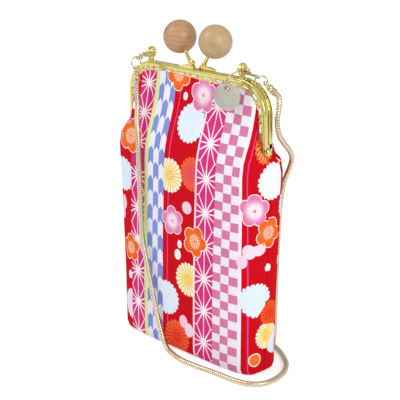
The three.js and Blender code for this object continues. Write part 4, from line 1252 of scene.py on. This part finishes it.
def cloth_arc(z, side):
    """One side of the cloth's outline at a height, as fine points from the left seam to the right.

    Below the hinge it is half of a rounded box, drawn in at the side seams just under the ears. Above
    it the hem lies flat behind the flange, and the cloth bulges forward from the flange's inner edge.
    """
    half_width, half_depth = bag_size(z, side)
    corner = np.interp(z, (0, 40, 118, 134, 141), (4.8, 4.3, 4.5, 4.8, 6.0))
    edge_depth = HEM_DEPTH * min(1, max(0, (z - SEAM_SLIT) / 4))
    drawn = np.interp(z, (129.5, SEAM_SLIT), (0, 1))
    edge_x = half_width + (UNDER_EAR - half_width) * drawn
    if z > SEAM_SLIT:
        hem_x = round_corner(z, HEM_INSET) if z > CORNER_Z else HEM_HALF_WIDTH
        edge_x = np.interp(z, (SEAM_SLIT, 138), (UNDER_EAR, hem_x))
    gap = max(half_width - edge_x, 0)
    widest = edge_depth + 1.4 * gap
    swing = np.linspace(0, math.pi / 2, 40)[:-1]
    fold_x = edge_x + (half_width - edge_x) * np.sin(swing)
    fold_y = edge_depth + (widest - edge_depth) * (1 - np.cos(swing))
    angles = np.linspace(0, math.pi / 2, ARC_SAMPLES // 2)
    c, s = np.cos(angles), np.sin(angles)
    reach = (c ** corner + s ** corner) ** (-1 / corner)
    x = np.concatenate((fold_x, c * reach * half_width))
    y = np.concatenate((fold_y, widest + s * reach * max(half_depth - widest, 0.05)))
    return np.stack((np.concatenate((-x, x[::-1][1:])), -np.concatenate((y, y[::-1][1:]))), 1)


def cloth_noise(a, b, seed):
    """A smooth and repeatable noise from a few waves."""
    rng = np.random.default_rng(seed)
    total = np.zeros(np.broadcast(a, b).shape)
    for _ in range(7):
        ka, kb, phase = rng.uniform(-1, 1), rng.uniform(-1, 1), rng.uniform(0, 2 * math.pi)
        total = total + np.sin(a * ka + b * kb + phase)
    return total / 7


# Width, in millimetres, of the strip behind the right seam that carries the front's print on
CARRIED_PRINT = 9.0
# Print coordinates of the plain ground under the base
UNSEEN_PRINT = np.array((0, -3, 0))


def cloth_columns(half_count):
    """Positions from seam to seam, closer together beside the seams, from 0 to 1."""
    beside = np.array((0, 0.0035, 0.007, 0.011, 0.016, 0.022))
    middle = np.linspace(0.03, 0.97, half_count)
    return np.concatenate((beside, middle, 1 - beside[::-1]))


def cloth_lean(z):
    """How far the cloth's stripes wander sideways at a height, in millimetres."""
    return np.interp(z, (0, 40, 75, 105, 130, 152, 172), (-1.6, -1.0, 0, 1.6, 2.6, 0.4, -1.4))


def cloth_point_rows(heights, columns, side):
    """Points and print coordinates of the front or the back panel at each height."""
    rows, prints = [], []
    for z in heights:
        arc = cloth_arc(z, side)
        steps = np.linalg.norm(np.diff(arc, axis=0), axis=1)
        arc = arc[np.concatenate(([True], steps > 1e-6))]
        run = np.concatenate(([0], np.cumsum(np.linalg.norm(np.diff(arc, axis=0), axis=1))))
        at = columns * run[-1]
        x = np.interp(at, run, arc[:, 0])
        y = np.interp(at, run, arc[:, 1])
        u = at - run[-1] / 2
        normal_x = np.gradient(y, at)
        normal_y = -np.gradient(x, at)
        from_seam = np.minimum(at, run[-1] - at)
        soft = np.clip(from_seam / 12, 0, 1)
        rise = 0.55 * cloth_noise(u * 0.055, z * 0.05, 3 + side) * soft * np.clip(z / 20, 0, 1)
        below_rim = (FRAME_TOP / MM - 6) - z
        gather = math.exp(-abs(below_rim) / 16) * np.clip((PANEL_TOP - 4 - z) / 6, 0, 1)
        pleat = np.sin(u * 2 * math.pi / 8.2 + 1.6 * cloth_noise(u * 0.12, z * 0.02, 11 + side))
        rise = rise + 0.55 * gather * (pleat + 0.6) * np.clip(from_seam / 8, 0, 1)
        if z < SEAM_SLIT + 2:
            seam_line = -0.9 * np.exp(-(from_seam / 0.55) ** 2)
            rise = rise + seam_line + 0.25 * np.exp(-((from_seam - 1.6) / 0.8) ** 2)
        x = x + normal_x * rise
        y = y + normal_y * rise
        y = np.minimum(y, -0.0)
        rows.append(np.stack((x, y * (1 if side == FRONT else -1), np.full(len(x), z)), 1))
        lean = cloth_lean(z) * np.clip((56 - np.abs(u)) / 12, 0, 1)
        across = (u - lean) * (1 if side == FRONT else -1)
        prints.append(np.stack((across, np.full(len(x), z), np.full(len(x), float(side))), 1))
    return np.array(rows), np.array(prints)


def carried_print(front_print, back_print, r, c):
    """Print coordinates of a spot of the back where the front's print runs on round the right seam."""
    from_seam = back_print[r, c, 0] - back_print[r, -1, 0]
    return np.array((front_print[r, -1, 0] + from_seam, back_print[r, c, 1], float(FRONT)))


def cloth_heights(low, high, step):
    return np.linspace(low, high, max(2, round((high - low) / step) + 1))


def bag_shape(column_count, row_step):
    """The bag all round below the hinge, its base, and the front panel above, with its print coordinates."""
    columns = cloth_columns(column_count)
    n = len(columns)
    base = np.array((0.0, 0.5, 1.0, 1.6, 2.6, 4, 6))
    lower = np.concatenate((base, cloth_heights(6, SEAM_SLIT, row_step)[1:]))
    upper = cloth_heights(SEAM_SLIT, PANEL_TOP, row_step * 0.8)[1:]
    front, front_print = cloth_point_rows(np.concatenate((lower, upper)), columns, FRONT)
    back, back_print = cloth_point_rows(lower, columns, BACK)
    points = [front.reshape(-1, 3), back[:, 1:-1].reshape(-1, 3)]
    back_start = len(front) * n
    inner = n - 2

    def front_index(r, c):
        return r * n + c

    def back_index(r, c):
        if c in (0, n - 1):
            return front_index(r, c)
        return back_start + r * inner + c - 1

    faces, corners = [], []
    for r in range(len(front) - 1):
        for c in range(n - 1):
            spots_here = ((r, c), (r, c + 1), (r + 1, c + 1), (r + 1, c))
            faces.append(tuple(front_index(*s) for s in spots_here))
            corners.extend(front_print[s] for s in spots_here)
    for r in range(len(lower) - 1):
        for c in range(n - 1):
            spots_here = ((r, c), (r + 1, c), (r + 1, c + 1), (r, c + 1))
            faces.append(tuple(back_index(*s) for s in spots_here))
            if back_print[r, c, 0] - back_print[r, -1, 0] <= CARRIED_PRINT:
                corners.extend(carried_print(front_print, back_print, *s) for s in spots_here)
            else:
                corners.extend(back_print[s] for s in spots_here)
    outline = [front_index(0, c) for c in range(n)] + [back_index(0, c) for c in range(n - 2, 0, -1)]
    edge_points = np.concatenate(points)[outline]
    start = len(np.concatenate(points))
    for scale in (0.8, 0.4):
        points.append(edge_points * np.array((scale, scale, 1)) + vec(0, 0, 0.15))
    points.append(np.array(((0, 0, 0.3),)))
    loops = [outline] + [[start + k * len(outline) + i for i in range(len(outline))] for k in range(2)]
    middle = start + 2 * len(outline)
    for a, b in ((loops[0], loops[1]), (loops[1], loops[2])):
        for i in range(len(outline)):
            j = (i + 1) % len(outline)
            faces.append((a[i], b[i], b[j], a[j]))
            corners.extend([UNSEEN_PRINT] * 4)
    for i in range(len(outline)):
        faces.append((loops[2][i], middle, loops[2][(i + 1) % len(outline)]))
        corners.extend([UNSEEN_PRINT] * 3)
    return np.concatenate(points) * MM, faces, np.array(corners)


def back_panel_shape(column_count, row_step):
    """The back panel above the hinge, whose lower edge meets the bag's."""
    columns = cloth_columns(column_count)
    heights = cloth_heights(SEAM_SLIT, PANEL_TOP, row_step * 0.8)
    back, back_print = cloth_point_rows(heights, columns, BACK)
    n = len(columns)
    faces, corners = [], []
    for r in range(len(back) - 1):
        for c in range(n - 1):
            spots_here = ((r, c), (r + 1, c), (r + 1, c + 1), (r, c + 1))
            faces.append(tuple(s[0] * n + s[1] for s in spots_here))
            corners.extend(back_print[s] for s in spots_here)
    return back.reshape(-1, 3) * MM, faces, np.array(corners)


def cloth_piece(name, shape, material, thickness):
    points, faces, corners = shape
    piece = mesh_piece(name, (points, faces), material, 70)
    mesh = piece.data
    if corners is not None:
        layer = mesh.attributes.new("cloth_mm", "FLOAT_VECTOR", "CORNER")
        layer.data.foreach_set("vector", corners.astype(np.float32).ravel())
    solid = piece.modifiers.new("cloth thickness", "SOLIDIFY")
    solid.thickness = thickness
    solid.offset = -1
    return piece


LINING_INSET = 1.7 * MM


def make_bag(look):
    cotton = printed_cotton(look.ground)
    bag = cloth_piece("printed_cotton_bag", bag_shape(112, 1.6), cotton, look.cloth_thickness)
    set_on(bag, "root", "printed_cotton", "outer_bag")
    panel = cloth_piece("printed_cotton_back_panel", back_panel_shape(112, 1.6), cotton, look.cloth_thickness)
    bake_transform(panel)
    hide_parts("back_mouth_fabric")


def make_lining(look):
    cotton = lining_cotton(look)
    thickness = look.lining_thickness
    narrower = 1 - 1.6 / 58

    def drawn_in(shape):
        points, faces, _ = shape
        reach = np.abs(points[:, 1])
        reach = np.sign(points[:, 1]) * np.maximum(reach - LINING_INSET, 0.25 * reach)
        points = np.stack((points[:, 0] * narrower, reach, np.maximum(points[:, 2], 1.5 * MM)), 1)
        upper = points[:, 2] > 150 * MM
        points[upper, 1] = np.sign(points[upper, 1]) * np.minimum(np.abs(points[upper, 1]), 5.4 * MM)
        return points, faces, None

    lining = cloth_piece("cotton_lining", drawn_in(bag_shape(44, 4.5)), cotton, thickness)
    set_on(lining, "root", "lining_cotton", "lining_bag")
    panel = cloth_piece("cotton_lining_back_panel", drawn_in(back_panel_shape(44, 4.5)), cotton, thickness)
    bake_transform(panel)
    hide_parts("back_mouth_lining")


# Stage

def white_ground():
    """Seamless white paper: it catches the object's shadow and reads as plain white to the camera."""
    material, tree, shader = new_material("white studio paper", "#f4f4f4", 0.0, 0.9)
    shader.inputs["Emission Color"].default_value = (1, 1, 1, 1)
    seen = add(tree, "ShaderNodeLightPath", out="Is Camera Ray")
    glossy = add(tree, "ShaderNodeLightPath", out="Is Glossy Ray")
    either = Field(tree, seen).larger(Field(tree, glossy) * 0.6) * 0.42
    tree.links.new(either.socket, shader.inputs["Emission Strength"])
    return material


def make_stage(settings):
    target = vec(*settings.target)
    azimuth, elevation = settings.azimuth, settings.elevation
    back = vec(math.sin(azimuth) * math.cos(elevation), -math.cos(azimuth) * math.cos(elevation),
               math.sin(elevation))
    data = bpy.data.cameras.new("photo camera")
    data.lens = settings.lens
    data.sensor_width = 36
    camera = bpy.data.objects.new("photo camera", data)
    camera.location = target + back * settings.distance
    camera.rotation_mode = "QUATERNION"
    camera.rotation_quaternion = Vector(-back).to_track_quat("-Z", "Y")
    bpy.context.scene.collection.objects.link(camera)
    bpy.context.scene.camera = camera

    reach = 4.0
    floor = mesh_piece("paper_floor", (np.array(((-reach, -reach, 0), (reach, -reach, 0), (reach, reach, 0),
                                                 (-reach, reach, 0))), [(0, 1, 2, 3)]), white_ground())

    # Dark cards that only polished metal sees: below the camera, and as the black strip on the frame's leg
    ahead = vec(back[0], back[1], 0)
    across = vec(-back[1], back[0], 0)
    velvet = new_material("black velvet card", "#050505", 0.0, 0.95)[0]
    foot = target * vec(1, 1, 0)
    low, high = vec(0, 0, 0.01), vec(0, 0, 0.12)
    near, far = foot + ahead * 0.34, foot + ahead * 0.75
    strip = vec(-0.128, -0.2425, 0.0)
    strip_side = vec(0.0111, -0.0086, 0.0)
    horizon = target - ahead * 0.55 + vec(0, 0, 0.25)
    rise = vec(0, 0, 0.05)
    cards = (("velvet_card", (near - across * 0.25 + low, near + across * 0.25 + low,
                              far + across * 0.25 + high, far - across * 0.25 + high)),
             ("velvet_strip", (strip - strip_side, strip + strip_side, strip + strip_side + high,
                               strip - strip_side + high)),
             ("velvet_horizon", (horizon - across * 0.3 - rise, horizon + across * 0.3 - rise,
                                 horizon + across * 0.3 + rise, horizon - across * 0.3 + rise)))
    for name, corners in cards:
        card = mesh_piece(name, (np.array(corners), [(0, 1, 2, 3)]), velvet)
        card.visible_camera = False
        card.visible_diffuse = False
        card.visible_shadow = False

    for name, place, size, watts in settings.lamps():
        lamp = bpy.data.lights.new(name, "AREA")
        lamp.size = size
        lamp.energy = watts
        lamp_object = bpy.data.objects.new(name, lamp)
        lamp_object.location = place
        lamp_object.rotation_mode = "QUATERNION"
        lamp_object.rotation_quaternion = (Vector(target) - Vector(place)).to_track_quat("-Z", "Y")
        bpy.context.scene.collection.objects.link(lamp_object)

    world = bpy.data.worlds.new("white studio")
    world.use_nodes = True
    bpy.context.scene.world = world
    tree = world.node_tree
    sky = tree.nodes["Background"]
    sky.inputs["Color"].default_value = (1, 1, 1, 1)
    seen = Field(tree, add(tree, "ShaderNodeLightPath", out="Is Camera Ray"))
    glossy = Field(tree, add(tree, "ShaderNodeLightPath", out="Is Glossy Ray"))
    fill = settings.fill
    polished = 0.66
    strength = seen * (1 - fill) + glossy * (polished - fill) + fill
    tree.links.new(strength.socket, sky.inputs["Strength"])
    bpy.context.scene.view_settings.view_transform = "Standard"


# Settings

def colour_setting(name, description, code):
    """A colour that a user may change, with its first value as an sRGB hex value."""
    return bpy.props.FloatVectorProperty(name=name, description=description, default=linear(code), size=4,
                                         min=0.0, max=1.0, subtype="COLOR")


def length_setting(name, description, millimetres):
    """A length that a user may change, with its first value in millimetres."""
    return bpy.props.FloatProperty(name=name, description=description, default=millimetres * MM,
                                   min=0.0, unit="LENGTH")


class PurseLookSettings(bpy.types.PropertyGroup):
    """The sizes and the colours."""

    ball_diameter: length_setting("Ball diameter", "Diameter of both wooden balls", 20)
    charm_diameter: length_setting("Charm diameter", "Diameter of the charm's disc", 16)
    cloth_thickness: length_setting("Cloth thickness", "Thickness of the printed cotton", 0.9)
    lining_thickness: length_setting("Lining thickness", "Thickness of the lining", 0.5)
    thread_width: length_setting("Thread width", "Width of a stitch at its middle", 1.2)
    ground: colour_setting("Ground", "Ground of the printed cotton", RED)
    lining: colour_setting("Lining", "Lighter tone of the lining", "#d02a3e")
    thread: colour_setting("Thread", "Lighter tone of the sewing thread", "#faf9f5")
    gold: colour_setting("Gold", "Lighter tone of the frame's plating", "#ebdf94")
    gold_shade: colour_setting("Gold shade", "Darker tone of the frame's plating", "#d9c767")
    pale_gold: colour_setting("Pale gold", "Lighter tone of the clasps and rings", "#e2d7b0")
    chain: colour_setting("Chain", "Crests of the snake chain", "#e4d8bb")
    charm: colour_setting("Charm", "Lighter tone of the charm's disc", "#d4d4ca")
    brown_wood: colour_setting("Brown wood", "Growth rings of the left ball", "#b08358")
    pale_wood: colour_setting("Pale wood", "Growth rings of the right ball", "#b29166")


class PurseStageSettings(bpy.types.PropertyGroup):
    """The camera and the light."""

    lens: bpy.props.FloatProperty(name="Lens", description="Focal length in mm", default=106.6, unit="CAMERA")
    distance: bpy.props.FloatProperty(name="Distance", description="Camera to target", default=0.7219,
                                      unit="LENGTH")
    azimuth: bpy.props.FloatProperty(name="Azimuth", description="Camera's turn about the purse",
                                     default=math.radians(46.3), unit="ROTATION")
    elevation: bpy.props.FloatProperty(name="Elevation", description="Camera's height as an angle",
                                       default=math.radians(16.92), unit="ROTATION")
    target: bpy.props.FloatVectorProperty(name="Target", description="Point the camera looks at",
                                          default=(0.00284, -0.00065, 0.09645), subtype="XYZ", unit="LENGTH")
    key: bpy.props.FloatProperty(name="Key", description="Power of the large lamp on the left", default=5.0,
                                 unit="POWER")
    fill: bpy.props.FloatProperty(name="Fill", description="Strength of the studio's own light", default=0.62)

    def lamps(self):
        return (("key softbox", (-0.55, -0.75, 0.95), 0.7, self.key),
                ("side softbox", (0.95, -0.25, 0.55), 0.5, self.key * 0.94))


class PURSE_OT_stage(bpy.types.Operator):
    """Make the camera, the white ground, the lamps and the studio light"""
    bl_idname = "purse.stage"
    bl_label = "Stage"

    def execute(self, context):
        make_stage(context.scene.purse_stage)
        return {"FINISHED"}


class PURSE_OT_hardware(bpy.types.Operator):
    """Make the frame halves, rivets, kiss lock and strap loops"""
    bl_idname = "purse.hardware"
    bl_label = "Frame and lock"

    def execute(self, context):
        look = context.scene.purse_look
        gold = make_frame_halves(look)
        make_kiss_lock(gold, look)
        make_loops(gold)
        return {"FINISHED"}


class PURSE_OT_strap(bpy.types.Operator):
    """Make the clasps, rings, caps and the snake chain"""
    bl_idname = "purse.strap"
    bl_label = "Chain strap"

    def execute(self, context):
        look = context.scene.purse_look
        make_strap(make_clasps(look), look)
        return {"FINISHED"}


class PURSE_OT_charm(bpy.types.Operator):
    """Make the charm's ring and its plain disc"""
    bl_idname = "purse.charm"
    bl_label = "Charm"

    def execute(self, context):
        make_charm(context.scene.purse_look)
        return {"FINISHED"}


class PURSE_OT_bag(bpy.types.Operator):
    """Make the printed outer cloth"""
    bl_idname = "purse.bag"
    bl_label = "Printed bag"

    def execute(self, context):
        make_bag(context.scene.purse_look)
        return {"FINISHED"}


class PURSE_OT_lining(bpy.types.Operator):
    """Make the lining"""
    bl_idname = "purse.lining"
    bl_label = "Lining"

    def execute(self, context):
        make_lining(context.scene.purse_look)
        return {"FINISHED"}


class PURSE_OT_stitches(bpy.types.Operator):
    """Sew the cloth to both flanges"""
    bl_idname = "purse.stitches"
    bl_label = "Stitches"

    def execute(self, context):
        make_stitches(context.scene.purse_look)
        return {"FINISHED"}


OPERATORS = (PURSE_OT_stage, PURSE_OT_strap, PURSE_OT_hardware, PURSE_OT_charm, PURSE_OT_bag,
             PURSE_OT_lining, PURSE_OT_stitches)


class PURSE_PT_panel(bpy.types.Panel):
    """The purse's operators, in the order that they run"""
    bl_idname = "PURSE_PT_panel"
    bl_label = "Phone purse"
    bl_space_type = "VIEW_3D"
    bl_region_type = "UI"
    bl_category = "Purse"

    def draw(self, context):
        for operator in OPERATORS:
            self.layout.operator(operator.bl_idname)
        for settings in (context.scene.purse_look, context.scene.purse_stage):
            for key in type(settings).__annotations__:
                self.layout.prop(settings, key)


CLASSES = (PurseLookSettings, PurseStageSettings, *OPERATORS, PURSE_PT_panel)


def register():
    for cls in CLASSES:
        bpy.utils.register_class(cls)
    bpy.types.Scene.purse_look = bpy.props.PointerProperty(type=PurseLookSettings)
    bpy.types.Scene.purse_stage = bpy.props.PointerProperty(type=PurseStageSettings)


def unregister():
    del bpy.types.Scene.purse_stage
    del bpy.types.Scene.purse_look
    for cls in reversed(CLASSES):
        bpy.utils.unregister_class(cls)


def main():
    register()
    bpy.ops.purse.stage()
    bpy.ops.purse.strap()
    bpy.ops.purse.hardware()
    bpy.ops.purse.charm()
    bpy.ops.purse.bag()
    bpy.ops.purse.lining()
    bpy.ops.purse.stitches()


if __name__ == "__main__":
    main()
